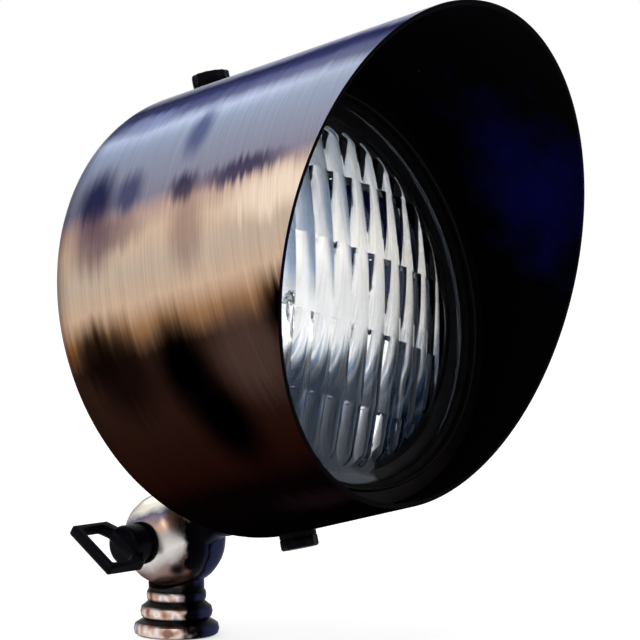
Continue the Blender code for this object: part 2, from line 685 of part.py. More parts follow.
def lens_height(x, y):
    """Front of the lens at a place across it: a low dome."""
    reach = min(math.hypot(x, y) / LENS_DOME_RADIUS, 1)
    return LENS_FROM_BACK + LENS_CROWN * (1 - reach * reach)


def lens_front_grid(shape):
    """The fluted field: columns across each flute, each from the circle's bottom to its top."""
    columns = FLUTE_STEPS * FLUTE_COUNT
    grid = []
    for column in range(columns + 1):
        x = FLUTE_FIELD_RADIUS * (2 * column / columns - 1)
        half = math.sqrt(max(FLUTE_FIELD_RADIUS ** 2 - x * x, 0))
        bulge = math.sin(math.pi * (column % FLUTE_STEPS) / FLUTE_STEPS)
        line = []
        for row in range(LENS_ROWS + 1):
            along_share = 2 * row / LENS_ROWS - 1
            y = half * along_share
            fade = 1 - along_share ** 8
            height = lens_height(x, y) + FLUTE_HEIGHT * bulge * fade
            if half == 0 and row > 0:
                line.append(line[0])
            else:
                line.append(shape.verts.new((x, y, height)))
        grid.append(line)
    for left, right in zip(grid, grid[1:]):
        for row in range(LENS_ROWS):
            corners = [left[row], right[row], right[row + 1], left[row + 1]]
            shape.faces.new(list(dict.fromkeys(corners)))
    bottom = [line[0] for line in grid]
    top = [line[-1] for line in grid[1:-1]]
    return bottom + top[::-1]


def add_lens(frames, finishes):
    """Pressed glass lens: fluted dome, smooth margin and flat flange."""
    shape = bmesh.new()
    loop = lens_front_grid(shape)
    rings = [(LENS_DOME_RADIUS, LENS_FROM_BACK), (LENS_RADIUS, LENS_FROM_BACK), (LENS_RADIUS, LENS_BACK)]
    rings += [(LENS_DOME_RADIUS - LENS_THICKNESS, LENS_BACK)]
    hollow_radius = FLUTE_FIELD_RADIUS - LENS_THICKNESS
    rings.append((hollow_radius, lens_height(hollow_radius, 0) - LENS_THICKNESS))
    for radius, height in rings:
        following = []
        for vertex in loop:
            across = Vector((vertex.co.x, vertex.co.y)).normalized() * radius
            following.append(shape.verts.new((across.x, across.y, height)))
        for index in range(len(loop)):
            after = (index + 1) % len(loop)
            shape.faces.new([loop[index], loop[after], following[after], following[index]])
        loop = following
    crown = shape.verts.new((0, 0, lens_height(0, 0) - LENS_THICKNESS))
    for index in range(len(loop)):
        shape.faces.new([loop[index], loop[(index + 1) % len(loop)], crown])
    turn = Matrix.Rotation(-LENS_TURN, 4, "Z")
    add_piece("lamp_lens", shape, finishes["glass"], frames["lamp"], turn)


def parabola(radius, rim_height, back_height, steps, start_share):
    """Points of a paraboloid from a share of its rim radius out to the rim."""
    points = []
    for step in range(steps + 1):
        share = start_share + (1 - start_share) * step / steps
        points.append((back_height + (rim_height - back_height) * share ** 2, radius * share))
    return points


def add_reflector(frames, finishes):
    """Glass bowl with a flat boss behind for the terminals."""
    inner_rim = REFLECTOR_RADIUS - REFLECTOR_WALL
    inner_back = REFLECTOR_BACK + REFLECTOR_WALL
    outer = [(REFLECTOR_BACK, 0), (REFLECTOR_BACK, REFLECTOR_BOSS_RADIUS)]
    start_share = (REFLECTOR_BOSS_RADIUS + REFLECTOR_BOSS_HEIGHT) / REFLECTOR_RADIUS
    outer += parabola(REFLECTOR_RADIUS, REFLECTOR_FLANGE_BACK, REFLECTOR_BACK, 4, start_share)
    rim = [(REFLECTOR_FLANGE_BACK, LENS_RADIUS), (REFLECTOR_FRONT, LENS_RADIUS)]
    inner = parabola(inner_rim, REFLECTOR_FRONT, inner_back, 6, 0)
    outline = outer + rim + inner[::-1]
    add_piece("lamp_reflector", turned(outline, LAMP_SEGMENTS), finishes["mirror"], frames["lamp"])
    slope = (REFLECTOR_FRONT - inner_back) / inner_rim ** 2
    holder_start = inner_back + slope * HOLDER_RADIUS ** 2 + GAP
    bore = CAPSULE_RADIUS + GAP
    holder_top = holder_start + HOLDER_HEIGHT
    floor = holder_start + HOLDER_FLOOR
    outline = [(holder_start, 0), (holder_start, HOLDER_RADIUS), (holder_top, HOLDER_RADIUS)]
    outline += [(holder_top, bore), (floor, bore), (floor, 0)]
    add_piece("capsule_holder", turned(outline, SMALL_SEGMENTS), finishes["zinc"], frames["lamp"])
    start = floor + GAP
    end = start + CAPSULE_LENGTH
    outline = [(start, 0), (start, CAPSULE_RADIUS)]
    dome_centre = (end - CAPSULE_RADIUS, 0)
    outline += arc(dome_centre, (CAPSULE_RADIUS, CAPSULE_RADIUS), math.pi / 2, 0, 4)[:-1]
    outline.append((end, 0))
    add_piece("lamp_capsule", turned(outline, SMALL_SEGMENTS), finishes["glass"], frames["lamp"])


def add_ring_and_gasket(frames, finishes, stud_holes):
    """Front ring with its straps and tabs, the rubber channel and the clamp ring behind it."""
    lamp = frames["lamp"]
    outline = [
        (GASKET_BACK, GASKET_REAR_LIP_RADIUS),
        (REFLECTOR_FLANGE_BACK - GAP, GASKET_REAR_LIP_RADIUS),
        (REFLECTOR_FLANGE_BACK - GAP, LENS_RADIUS + GAP),
        (LENS_FROM_BACK + GAP, LENS_RADIUS + GAP),
        (LENS_FROM_BACK + GAP, GASKET_LIP_RADIUS),
        (GASKET_FRONT, GASKET_LIP_RADIUS),
        (GASKET_FRONT, GASKET_RADIUS),
        (GASKET_BACK, GASKET_RADIUS),
    ]
    gasket = turned(outline, LAMP_SEGMENTS, closed=True)
    add_piece("lamp_gasket", gasket, finishes["rubber"], lamp)
    clamp = tube(GASKET_RADIUS, CLAMP_RADIUS, CLAMP_BACK, CLAMP_FRONT, LAMP_SEGMENTS)
    add_piece("lamp_clamp_ring", clamp, finishes["zinc"], lamp)

    bead_centre = (RING_PLATE_FRONT, RING_OPENING_RADIUS + RING_BEAD_WIDTH / 2)
    bead_radii = (RING_BEAD_HEIGHT, RING_BEAD_WIDTH / 2)
    outline = [(RING_PLATE_BACK, RING_OPENING_RADIUS)]
    outline += arc(bead_centre, bead_radii, -math.pi / 2, math.pi / 2, 4)
    tab_radius = RING_SKIRT_INNER - RING_TAB_DEPTH
    outline += [
        (RING_PLATE_FRONT, RING_FLANGE_RADIUS),
        (RING_PLATE_BACK, RING_FLANGE_RADIUS),
        (RING_PLATE_BACK, RING_SKIRT_OUTER),
        (TAB_BACK, RING_SKIRT_OUTER),
        (TAB_BACK, tab_radius),
        (TAB_FRONT, tab_radius),
        (TAB_FRONT, RING_SKIRT_INNER),
        (RING_PLATE_BACK, RING_SKIRT_INNER),
    ]
    tab_points = (len(outline) - 4, len(outline) - 3)

    def tabs(index, segment):
        spacing = LAMP_SEGMENTS // RING_TAB_COUNT
        on_tab = (segment + spacing // 2) % spacing < RING_TAB_SEGMENTS
        if index not in tab_points or on_tab:
            return 1
        return (RING_SKIRT_INNER - RING_LIP) / tab_radius

    shape = turned(outline, LAMP_SEGMENTS, closed=True, swell=tabs)
    ring = add_piece("lamp_ring", shape, finishes["ring"], lamp)
    strap = [
        (STRAP_END, STRAP_INNER),
        (RING_PLATE_BACK + RING_PLATE / 2, STRAP_INNER),
        (RING_PLATE_BACK + RING_PLATE / 2, STRAP_OUTER),
        (STRAP_END, STRAP_OUTER),
    ]
    for side, middle in (("top", math.pi / 2), ("bottom", -math.pi / 2)):
        shape = sector(strap, middle, STRAP_WIDTH / STRAP_OUTER, 3)
        combine(ring, add_piece(f"ring_strap_guide_{side}", shape, None, lamp), "UNION")
    combine(ring, stud_holes, "DIFFERENCE")


def add_knobs(frames, finishes):
    """Two fluted knobs on studs that screw into nuts under the ring's straps."""
    top = KNOB_START + KNOB_HEIGHT
    socket = KNOB_START + KNOB_SOCKET_DEPTH
    bore = STUD_RADIUS + GAP
    outline = [
        (socket, 0),
        (socket, bore),
        (KNOB_START, bore),
        (KNOB_START, KNOB_RADIUS),
        (top - KNOB_CHAMFER, KNOB_RADIUS),
        (top, KNOB_RADIUS - KNOB_CHAMFER),
        (top, 0),
    ]
    fluted = (3, 4, 5)

    def flutes(index, segment):
        return 1 - KNOB_FLUTE_DEPTH / KNOB_RADIUS * (segment % 2) if index in fluted else 1

    stud_tip = RING_NUT_TOP - RING_NUT_HEIGHT - STUD_TIP
    for side, axis in frames["knobs"].items():
        knob = turned(outline, 2 * KNOB_FLUTES, swell=flutes)
        add_piece(f"knob_{side}", knob, finishes["knob"], axis)
        stud = cylinder(STUD_RADIUS, stud_tip, socket - GAP)
        add_piece(f"knob_stud_{side}", stud, finishes["zinc"], axis)
        washer_end = KNOB_WASHER_START + KNOB_WASHER_THICKNESS
        washer = tube(KNOB_WASHER_RADIUS, bore, KNOB_WASHER_START, washer_end)
        add_piece(f"knob_washer_{side}", washer, finishes["rubber"], axis)
        nut = hexagon(RING_NUT_WIDTH, bore, RING_NUT_TOP - RING_NUT_HEIGHT, RING_NUT_TOP)
        add_piece(f"ring_nut_{side}", nut, finishes["zinc"], axis)


# Terminals and leads


def add_terminals(frames, finishes):
    """Screw terminals behind the reflector, with crimped eyelets for the two leads."""
    post_front = REFLECTOR_BACK - GAP
    post_back = post_front - POST_HEIGHT
    eyelet_front = post_back - GAP
    eyelet_back = eyelet_front - EYELET_THICKNESS
    eyelet_middle = (eyelet_front + eyelet_back) / 2
    head_front = eyelet_back - GAP
    head_back = head_front - TERMINAL_HEAD_HEIGHT
    bore = TERMINAL_SCREW_RADIUS + GAP
    for side, place in (("left", -TERMINAL_SPACING / 2), ("right", TERMINAL_SPACING / 2)):
        spot = Matrix.Translation((place, 0, 0))
        post = tube(POST_RADIUS, bore, post_back, post_front)
        add_piece(f"terminal_post_{side}", post, finishes["brass"], frames["lamp"], spot)
        outline = [
            (head_back, 0),
            (head_back, TERMINAL_HEAD_RADIUS - SLOT_WIDTH / 2),
            (head_back + SLOT_WIDTH / 2, TERMINAL_HEAD_RADIUS),
            (head_front, TERMINAL_HEAD_RADIUS),
            (head_front, TERMINAL_SCREW_RADIUS),
            (head_front + TERMINAL_SCREW_LENGTH, TERMINAL_SCREW_RADIUS),
            (head_front + TERMINAL_SCREW_LENGTH, 0),
        ]
        shape = turned(outline, SMALL_SEGMENTS)
        screw = add_piece(f"terminal_screw_{side}", shape, finishes["zinc"], frames["lamp"], spot)
        slot = bmesh.new()
        bmesh.ops.create_cube(slot, size=1)
        slot_size = (SLOT_WIDTH, 2 * TERMINAL_HEAD_RADIUS + OVERRUN, 2 * SLOT_DEPTH)
        bmesh.ops.scale(slot, vec=slot_size, verts=slot.verts)
        slot_place = Matrix.Translation((place, 0, head_back))
        guide = add_piece(f"screw_slot_guide_{side}", slot, None, frames["lamp"], slot_place)
        combine(screw, guide, "DIFFERENCE")
        shape = tube(EYELET_RADIUS, bore, eyelet_back, eyelet_front)
        eyelet = add_piece(f"lead_eyelet_{side}", shape, finishes["zinc"], frames["lamp"], spot)
        tongue = bmesh.new()
        bmesh.ops.create_cube(tongue, size=1)
        reach = BARREL_OFFSET + BARREL_RADIUS - bore - GAP
        size = (EYELET_TONGUE_WIDTH, reach, EYELET_THICKNESS)
        bmesh.ops.scale(tongue, vec=size, verts=tongue.verts)
        tongue_place = Matrix.Translation((place, -(bore + GAP + reach / 2), eyelet_middle))
        guide = add_piece(f"eyelet_tongue_guide_{side}", tongue, None, frames["lamp"], tongue_place)
        combine(eyelet, guide, "UNION")
        start = (place, -BARREL_OFFSET, eyelet_middle)
        end = (place, -BARREL_OFFSET - BARREL_LENGTH, eyelet_middle)
        barrel = cylinder(BARREL_RADIUS, 0, BARREL_LENGTH)
        guide = add_piece(f"eyelet_barrel_guide_{side}", barrel, None, frames["lamp"], along(start, end))
        combine(eyelet, guide, "UNION")
        add_lead(side, place, Vector(end), frames, finishes)


def stem_point(distance, across):
    """A place on the stem's axis, given in the lamp's frame."""
    ahead = distance * math.cos(STEM_ANGLE) - BACK_AHEAD_OF_PIVOT
    above = distance * math.sin(STEM_ANGLE) - AXIS_ABOVE_PIVOT
    return Vector((across, above, ahead))


def smooth_route(points, steps):
    """Points of a smooth curve through the route's own points."""
    padded = [2 * points[0] - points[1], *points, 2 * points[-1] - points[-2]]
    route = []
    for index in range(1, len(padded) - 2):
        before, start, end, after = padded[index - 1:index + 3]
        for step in range(steps):
            t = step / steps
            bend = 2 * start + (end - before) * t
            bend += (2 * before - 5 * start + 4 * end - after) * t ** 2
            bend += (3 * start - before - 3 * end + after) * t ** 3
            route.append(bend / 2)
    route.append(points[-1])
    return route


def add_lead(side, place, barrel_end, frames, finishes):
    """One insulated lead from its eyelet down into the hollow stem."""
    across = math.copysign(LEAD_SPACING / 2, place)
    start = barrel_end + Vector((0, -GAP, 0))
    nipple_mouth = stem_point(NIPPLE_END, across)
    above_mouth = stem_point(NIPPLE_END + LEAD_BEND_FORWARD, across)
    halfway = (start + above_mouth) / 2
    route = [
        start,
        start + Vector((0, -4 * LEAD_RADIUS, 0)),
        halfway + Vector((0, LEAD_BEND_DROP / 6, LEAD_BEND_FORWARD / 4)),
        above_mouth,
        nipple_mouth,
        stem_point((NIPPLE_START + NIPPLE_END) / 2, across),
        stem_point(NIPPLE_START + LEAD_RADIUS, across),
    ]
    curve = bpy.data.curves.new(f"lead_wire_{side}", "CURVE")
    curve.dimensions = "3D"
    curve.bevel_depth = LEAD_RADIUS
    curve.bevel_resolution = 2
    curve.use_fill_caps = True
    points = smooth_route(route, ROUTE_STEPS)
    spline = curve.splines.new("POLY")
    spline.points.add(len(points) - 1)
    for target, point in zip(spline.points, points):
        target.co = (*point, 1)
    curve.materials.append(finishes["lead"])
    lead = bpy.data.objects.new(f"lead_wire_{side}", curve)
    bpy.context.scene.collection.objects.link(lead)
    lead.parent = frames["lamp"]


# Finishes


def make_finishes():
    """Materials by finish, colours as seen on the object."""
    return {
        "housing": finish_material("antique_brass_spun", (0.28, 0.16, 0.10), 0.30, 1.0),
        "brass": finish_material("antique_brass_cast", (0.42, 0.30, 0.23), 0.35, 1.0),
        "ring": finish_material("black_ring_paint", (0.02, 0.015, 0.015), 0.45, 0.0),
        "knob": finish_material("black_moulding", (0.012, 0.012, 0.016), 0.35, 0.0),
        "rubber": finish_material("black_rubber", (0.02, 0.02, 0.02), 0.80, 0.0),
        "zinc": finish_material("zinc_plated_steel", (0.55, 0.56, 0.58), 0.40, 1.0),
        "glass": finish_material("clear_pressed_glass", (0.85, 0.90, 0.93), 0.05, 0.0, 0.9),
        "mirror": finish_material("aluminised_reflector", (0.82, 0.84, 0.87), 0.12, 1.0),
        "lead": finish_material("lead_insulation", (0.03, 0.03, 0.03), 0.55, 0.0),
    }


def main():
    """Build every piece of the spotlight."""
    clear_scene()
    finishes = make_finishes()
    frames = add_frames()
    stud_holes = add_housing(frames, finishes)
    add_lower_knuckle(frames, finishes)
    add_upper_knuckle(frames, finishes)
    add_stem_fittings(frames, finishes)
    add_thumb_screw(frames, finishes)
    add_lens(frames, finishes)
    add_reflector(frames, finishes)
    add_ring_and_gasket(frames, finishes, stud_holes)
    add_knobs(frames, finishes)
    add_terminals(frames, finishes)


main()
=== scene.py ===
"""Looks of the brass landscape spotlight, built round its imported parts.

Sizes are in millimetres and are turned to metres as a piece is made. Pieces of the lamp are
made about the lamp's own axis, Z to the front and Y up, and are then put in place.
"""

import json
import logging
import math
from collections.abc import Callable, Iterator, Sequence
from contextlib import contextmanager
from dataclasses import dataclass
from enum import Enum

import bmesh
import bpy
from mathutils import Matrix, Vector

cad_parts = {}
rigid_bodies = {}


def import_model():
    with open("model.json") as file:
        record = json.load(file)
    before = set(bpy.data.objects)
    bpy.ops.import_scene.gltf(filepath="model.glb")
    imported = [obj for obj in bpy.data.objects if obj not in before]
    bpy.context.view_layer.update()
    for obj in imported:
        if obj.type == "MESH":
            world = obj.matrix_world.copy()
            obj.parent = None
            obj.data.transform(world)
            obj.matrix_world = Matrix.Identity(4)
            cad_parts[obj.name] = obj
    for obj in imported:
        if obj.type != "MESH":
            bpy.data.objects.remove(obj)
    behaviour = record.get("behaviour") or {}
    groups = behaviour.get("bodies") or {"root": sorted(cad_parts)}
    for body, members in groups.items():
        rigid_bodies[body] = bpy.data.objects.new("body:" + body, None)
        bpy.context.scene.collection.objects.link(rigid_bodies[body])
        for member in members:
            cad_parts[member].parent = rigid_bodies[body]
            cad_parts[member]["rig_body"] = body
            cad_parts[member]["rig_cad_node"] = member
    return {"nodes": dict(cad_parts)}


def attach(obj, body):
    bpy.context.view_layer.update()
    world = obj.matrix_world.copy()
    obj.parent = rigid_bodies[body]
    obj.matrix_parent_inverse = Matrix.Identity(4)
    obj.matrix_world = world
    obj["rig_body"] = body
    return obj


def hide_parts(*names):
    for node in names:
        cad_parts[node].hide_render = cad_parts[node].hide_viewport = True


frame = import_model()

log = logging.getLogger("spotlight")

Point = tuple[float, float]
Place = tuple[float, float, float]
Colour = tuple[float, float, float, float]
Stops = dict[float, str | float]
Inputs = dict[int | str, object]
Node = bpy.types.Node
Socket = bpy.types.NodeSocket
Piece = bpy.types.Object
Material = bpy.types.Material

MM = 0.001
MERGE_DISTANCE = 0.001 * MM
SMOOTH_ANGLE = math.radians(32)
FLATTEN = (1.0, 1.0, 0.0)

LAMP_TILT = math.radians(14.4)
LAMP_TURN = math.pi / 2 - LAMP_TILT
LAMP_ORIGIN = Vector((0, -6.729, 90.649)) * MM
LAMP_PLACE = Matrix.Translation(LAMP_ORIGIN) @ Matrix.Rotation(LAMP_TURN, 4, "X")
KNOB_FROM_BACK = 25.1
KNOB_PLACE = Matrix.Translation((0, 0, KNOB_FROM_BACK * MM)) @ Matrix.Rotation(-math.pi / 2, 4, "X")
STUD_HOLE_RADIUS = 2.6
STUD_HOLE_SIDES = 32
SECTOR_STEPS = 8
BEVEL_SEGMENTS = 2


class Body(Enum):
    """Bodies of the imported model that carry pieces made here."""

    BASE = "base"
    HEAD = "head"
    THUMB_SCREW = "thumb_screw"
    TOP_WASHER = "top_knob_washer"
    TOP_KNOB = "top_knob"
    BOTTOM_WASHER = "bottom_knob_washer"
    BOTTOM_KNOB = "bottom_knob"


class Slot(Enum):
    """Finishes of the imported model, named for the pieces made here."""

    HOUSING = "housing_brass"
    CAST = "cast_brass"
    RING = "ring_paint"
    MOULDING = "black_moulding"
    RUBBER = "black_rubber"
    LENS = "lens_glass"
    MIRROR = "reflector_mirror"


class Pick(Enum):
    """What a selection takes in edit mode."""

    VERTICES = "VERT"
    EDGES = "EDGE"


# Materials


def linear(code: str) -> Colour:
    """Turn an sRGB hex colour to the linear colour that a shader takes.

    Args:
        code: Six hex digits.

    Returns:
        Red, green, blue and an alpha of one.
    """
    channels = [int(code[start:start + 2], 16) / 255 for start in (0, 2, 4)]
    values = [c / 12.92 if c <= 0.04045 else ((c + 0.055) / 1.055) ** 2.4 for c in channels]
    return (*values, 1.0)


def grey(value: float) -> Colour:
    """A neutral linear colour."""
    return (value, value, value, 1.0)


class Net:
    """The nodes of a material or of the world."""

    def __init__(self, owner: Material | bpy.types.World) -> None:
        """Start with an empty tree.

        Args:
            owner: The material or the world.
        """
        owner.use_nodes = True
        self.tree = owner.node_tree
        self.tree.nodes.clear()

    def add(self, kind: str, inputs: Inputs | None = None, **settings: object) -> Node:
        """Add a node with its settings and its links.

        Args:
            kind: Name of the node's type, after the word ShaderNode.
            inputs: What feeds its inputs.
            settings: Properties of the node.

        Returns:
            The new node.
        """
        node = self.tree.nodes.new("ShaderNode" + kind)
        for name, value in settings.items():
            setattr(node, name, value)
        self.feed(node, inputs or {})
        return node

    def feed(self, node: Node, inputs: Inputs) -> None:
        """Set or link inputs of a node.

        Args:
            node: The node.
            inputs: By name or number, a value, a socket, or a node whose first output is linked.
        """
        for name, value in inputs.items():
            source = value.outputs[0] if isinstance(value, Node) else value
            if isinstance(source, Socket):
                self.tree.links.new(source, node.inputs[name])
            else:
                node.inputs[name].default_value = source


def fill_ramp(node: Node, stops: Stops) -> Socket:
    """Give a colour ramp its stops.

    Args:
        node: The ramp.
        stops: Hex colour or grey level at each place from 0 to 1, in order.

    Returns:
        The ramp's colour output.
    """
    elements = node.color_ramp.elements
    while len(elements) < len(stops):
        elements.new(1.0)
    for element, (place, tone) in zip(elements, stops.items()):
        element.position = place
        element.color = linear(tone) if isinstance(tone, str) else grey(tone)
    return node.outputs[0]


@dataclass(frozen=True)
class Finish:
    """A material: the values that are the same all over it, its clouding and its grain."""

    name: str
    colour: str
    roughness: float
    metallic: float = 0.0
    specular: float = 0.5
    ior: float = 1.5
    transmission: float = 0.0
    edge: str = "ffffff"
    second: str = ""
    tone_range: Point = (0.40, 0.70)
    clouds_per_mm: float = 0.2
    clouds_detail: float = 3.0
    grain_per_mm: float = 1.5
    grain_detail: float = 2.0
    grain_strength: float = 0.0
    grain_depth: float = 0.05

    def material(self) -> Material:
        """Make the material: its shader with the even values, then what varies.

        Returns:
            The material.
        """
        material = bpy.data.materials.new(self.name)
        net = Net(material)
        values = {
            "Base Color": linear(self.colour),
            "Roughness": self.roughness,
            "Metallic": self.metallic,
            "Transmission Weight": self.transmission,
            "Specular IOR Level": self.specular,
            "Specular Tint": linear(self.edge),
            "IOR": self.ior,
        }
        shader = net.add("BsdfPrincipled", values)
        net.feed(shader, self.pattern(net))
        net.add("OutputMaterial", {"Surface": shader})
        return material

    def pattern(self, net: Net) -> Inputs:
        """Clouding between the finish's tones, and its grain.

        Args:
            net: The material's nodes.

        Returns:
            The shader's inputs that vary.
        """
        point = self.in_millimetres(net)
        varying = {}
        if self.tones():
            inputs = {"Vector": point, "Scale": self.clouds_per_mm, "Detail": self.clouds_detail}
            clouds = net.add("TexNoise", inputs)
            varying["Base Color"] = fill_ramp(net.add("ValToRGB", {0: clouds}), self.tones())
        if self.grain_strength:
            varying["Normal"] = self.grain(net, point)
        return varying

    def tones(self) -> Stops:
        """Tones of the clouding: none unless the finish has a second one."""
        start, end = self.tone_range
        return {start: self.colour, end: self.second} if self.second else {}

    def in_millimetres(self, net: Net, on_lamp: bool = False) -> Node:
        """Place on the object in millimetres.

        Args:
            net: The material's nodes.
            on_lamp: Whether it is in the lamp's own frame and not in the world's.

        Returns:
            The node that carries the place.
        """
        inputs = {
            "Vector": net.add("TexCoord").outputs["Object"],
            "Location": LAMP_ORIGIN if on_lamp else (0, 0, 0),
            "Rotation": (LAMP_TURN if on_lamp else 0, 0, 0),
            "Scale": (MM, MM, MM),
        }
        return net.add("Mapping", inputs, vector_type="TEXTURE")

    def grain(self, net: Net, point: Node) -> Node:
        """Fine relief of the surface.

        Args:
            net: The material's nodes.
            point: Place in millimetres.

        Returns:
            The node that carries the normal.
        """
        inputs = {"Vector": point, "Scale": self.grain_per_mm, "Detail": self.grain_detail}
        height = net.add("TexNoise", inputs)
        inputs = {"Strength": self.grain_strength, "Distance": self.grain_depth * MM, "Height": height}
        return net.add("Bump", inputs)

    def fade(self, net: Net, colour: Socket | Colour, tint: Socket | Colour, distance: Socket | Node,
             edges: Point, strength: float = 1.0, blend: str = "MIX") -> Socket:
        """Lay a tint over a colour where a distance is short, with a soft edge.

        Args:
            net: The material's nodes.
            colour: The colour underneath.
            tint: The colour laid over it.
            distance: How far a place is from the tint's middle.
            edges: Distance at which the tint starts, and distance at which it is full.
            strength: How much of it is laid where it is full.
            blend: How the two mix.

        Returns:
            The colour with the tint on it.
        """
        inputs = {0: distance, 1: edges[0], 2: edges[1], 3: 0.0, 4: strength}
        amount = net.add("MapRange", inputs, interpolation_type="SMOOTHSTEP")
        inputs = {0: amount, 6: colour, 7: tint}
        return net.add("Mix", inputs, data_type="RGBA", blend_type=blend).outputs[2]


@dataclass(frozen=True)
class AgedAndShadedBrass(Finish):
    """Brass under patina and painted shade: metal where its colour is bright, and none where it is black.
    """

    patina_and_shade_level: float = 0.01
    metal_level: float = 0.12
    polish: Point = (0.0, 0.0)

    def aged(self, net: Net, colour: Socket, noise: Node, normal: Node) -> Inputs:
        """Bare metal where the colour, patina and painted shade alike, is bright, and an uneven polish.

        Args:
            net: The material's nodes.
            colour: Colour of the surface.
            noise: What the polish follows.
            normal: The surface's fine relief.

        Returns:
            The shader's inputs that vary.
        """
        brightness = net.add("RGBToBW", {0: colour})
        bare = net.add("MapRange", {0: brightness, 1: self.patina_and_shade_level, 2: self.metal_level})
        low, high = (self.roughness + share for share in self.polish)
        roughness = net.add("MapRange", {0: noise, 3: low, 4: high})
        return {"Base Color": colour, "Metallic": bare, "Roughness": roughness, "Normal": normal}


@dataclass(frozen=True)
class Patch:
    """A patch laid on the cup: dark ones of patina and painted shade, pale ones of painted highlight.

    It lies at a distance from the cup's back in millimetres and an angle from its top in degrees.
    """

    middle: float
    half_length: float
    angle: float
    half_angle: float
    colour: str
    strength: float = 1.0


@dataclass(frozen=True)
class SpunBrass(AgedAndShadedBrass):
    """Brass sheet spun to a cup, aged with acid, brushed round its axis and lacquered.

    Its colour is painted reflection and painted shade over the patina: long soft bands along the
    cup, from indigo at the top through a painted pale blue reflection and warm brass to painted
    shade near black below, dark tongues that run round it, and fine marks of the brush. Real
    marks are about 0.1 mm apart. Here they are 0.6 mm apart, because finer ones wouldn't show.
    """

    grain_strength: float = 0.10
    polish: Point = (-0.04, 0.08)
    cup_radius: float = 65.0
    drift_per_mm: float = 0.035
    drift: float = 0.022
    hairs_per_mm: float = 0.55
    hair_length: float = 0.042
    brush_per_mm: float = 1.6
    brush_shade: float = 0.80
    across_per_mm: float = 0.02
    noise_roughness: float = 0.6
    patch_edges: Point = (1.45, 0.35)
    # Dark patches are patina and painted shade; pale ones, as the peach at 71.5 degrees, are painted
    # highlights.
    patches: tuple[Patch, ...] = (
        Patch(96.0, 15.0, 25.0, 5.0, "4a4c6c", 0.60),
        Patch(33.0, 11.0, 35.0, 4.5, "9aa2be", 0.80),
        Patch(60.0, 4.5, 47.0, 8.0, "4a5480", 0.75),
        Patch(25.0, 7.5, 60.0, 9.0, "22254c", 0.95),
        Patch(38.0, 5.5, 60.0, 6.5, "3a3d66", 0.80),
        Patch(26.0, 9.0, 71.0, 8.0, "6d5560", 0.75),
        Patch(60.0, 5.5, 63.5, 4.0, "3a3450", 0.90),
        Patch(82.0, 15.0, 63.5, 3.2, "413a5a", 0.90),
        Patch(34.0, 11.0, 70.0, 4.5, "6e5860", 0.60),
        Patch(62.0, 6.5, 75.0, 9.0, "8c6c66", 0.60),
        Patch(95.0, 18.0, 71.5, 5.5, "f9e2cc", 0.95),
        Patch(30.0, 11.0, 104.0, 12.0, "150a08", 0.90),
        Patch(22.0, 8.0, 98.0, 7.5, "100605", 0.90),
        Patch(52.0, 9.5, 107.0, 13.0, "010001"),
        Patch(57.0, 10.0, 122.0, 15.0, "010001"),
        Patch(76.0, 12.0, 107.0, 12.0, "543f38", 0.80),
        Patch(92.0, 6.5, 99.0, 9.0, "010001"),
        Patch(60.0, 14.0, 155.0, 5.0, "1e1216", 0.80),
    )

    def bands(self) -> Stops:
        """Painted reflections and shade on the metal, from the top of the cup to its bottom at 180 degrees.

        Returns:
            The colour at each share of the half turn.
        """
        # Painted reflection and shade by angle: a painted highlight at 14 degrees, painted pale blue and
        # warm brass reflections, and painted shade down to near black below.
        colours = {
            0: "2a2a48", 14: "f0f1f6", 20: "a8acbe", 25: "2a2d50", 31: "686b84", 35: "72758c",
            40: "b8c2d8", 45: "a6b1c8", 51: "9da4b9", 62: "8f8b9d", 67: "c9aa9c", 72: "dcbfa6",
            80: "c8b4a1", 88: "ccae95", 94: "97704f", 101: "38241c", 134: "2a110c", 144: "0c0405",
            168: "030303",
        }
        return {angle / 180: code for angle, code in colours.items()}

    def pattern(self, net: Net) -> Inputs:
        """Bands round the cup, patches over them, and brush marks.

        Args:
            net: The material's nodes.

        Returns:
            The shader's inputs that vary.
        """
        axes = net.add("SeparateXYZ", {0: self.in_millimetres(net, on_lamp=True)}).outputs
        level = net.add("Math", {0: axes[1], 1: self.cup_radius}, operation="DIVIDE")
        angle = net.add("Math", {0: level}, operation="ARCCOSINE")
        share = net.add("Math", {0: angle, 1: math.pi}, operation="DIVIDE")

        rates = (self.drift_per_mm, self.hairs_per_mm, self.brush_per_mm)
        slow, hairs, marks = [self.round_noise(net, axes, angle, rate) for rate in rates]
        smooth_place = self.moved(net, share, slow, self.drift)
        ragged_place = self.moved(net, smooth_place, hairs, self.hair_length)
        band_place = self.moved(net, smooth_place, hairs, self.drift)
        colour = fill_ramp(net.add("ValToRGB", {0: band_place}), self.bands())
        for patch in self.patches:
            colour = self.lay(net, colour, patch, axes[2], ragged_place)

        shade = fill_ramp(net.add("ValToRGB", {0: marks}), {0.3: self.brush_shade, 0.7: 1.0})
        inputs = {0: 1.0, 6: colour, 7: shade}
        brushed = net.add("Mix", inputs, data_type="RGBA", blend_type="MULTIPLY").outputs[2]
        inputs = {"Strength": self.grain_strength, "Distance": self.grain_depth * MM, "Height": marks}
        return self.aged(net, brushed, hairs, net.add("Bump", inputs))

    def round_noise(self, net: Net, axes: Sequence[Socket], angle: Node, per_mm: float) -> Node:
        """Noise drawn out round the cup, as the lathe and the brush leave it.

        Args:
            net: The material's nodes.
            axes: Place in the lamp's frame, in millimetres.
            angle: Angle from the cup's top, in radians.
            per_mm: How quickly it changes along the cup.

        Returns:
            The node that carries the noise.
        """
        length = net.add("Math", {0: axes[2], 1: per_mm}, operation="MULTIPLY")
        side = net.add("Math", {0: axes[0], 1: self.across_per_mm}, operation="MULTIPLY")
        place = net.add("CombineXYZ", {"X": length, "Y": angle, "Z": side})
        inputs = {"Scale": 1.0, "Detail": self.clouds_detail, "Roughness": self.noise_roughness}
        return net.add("TexNoise", {"Vector": place, **inputs})

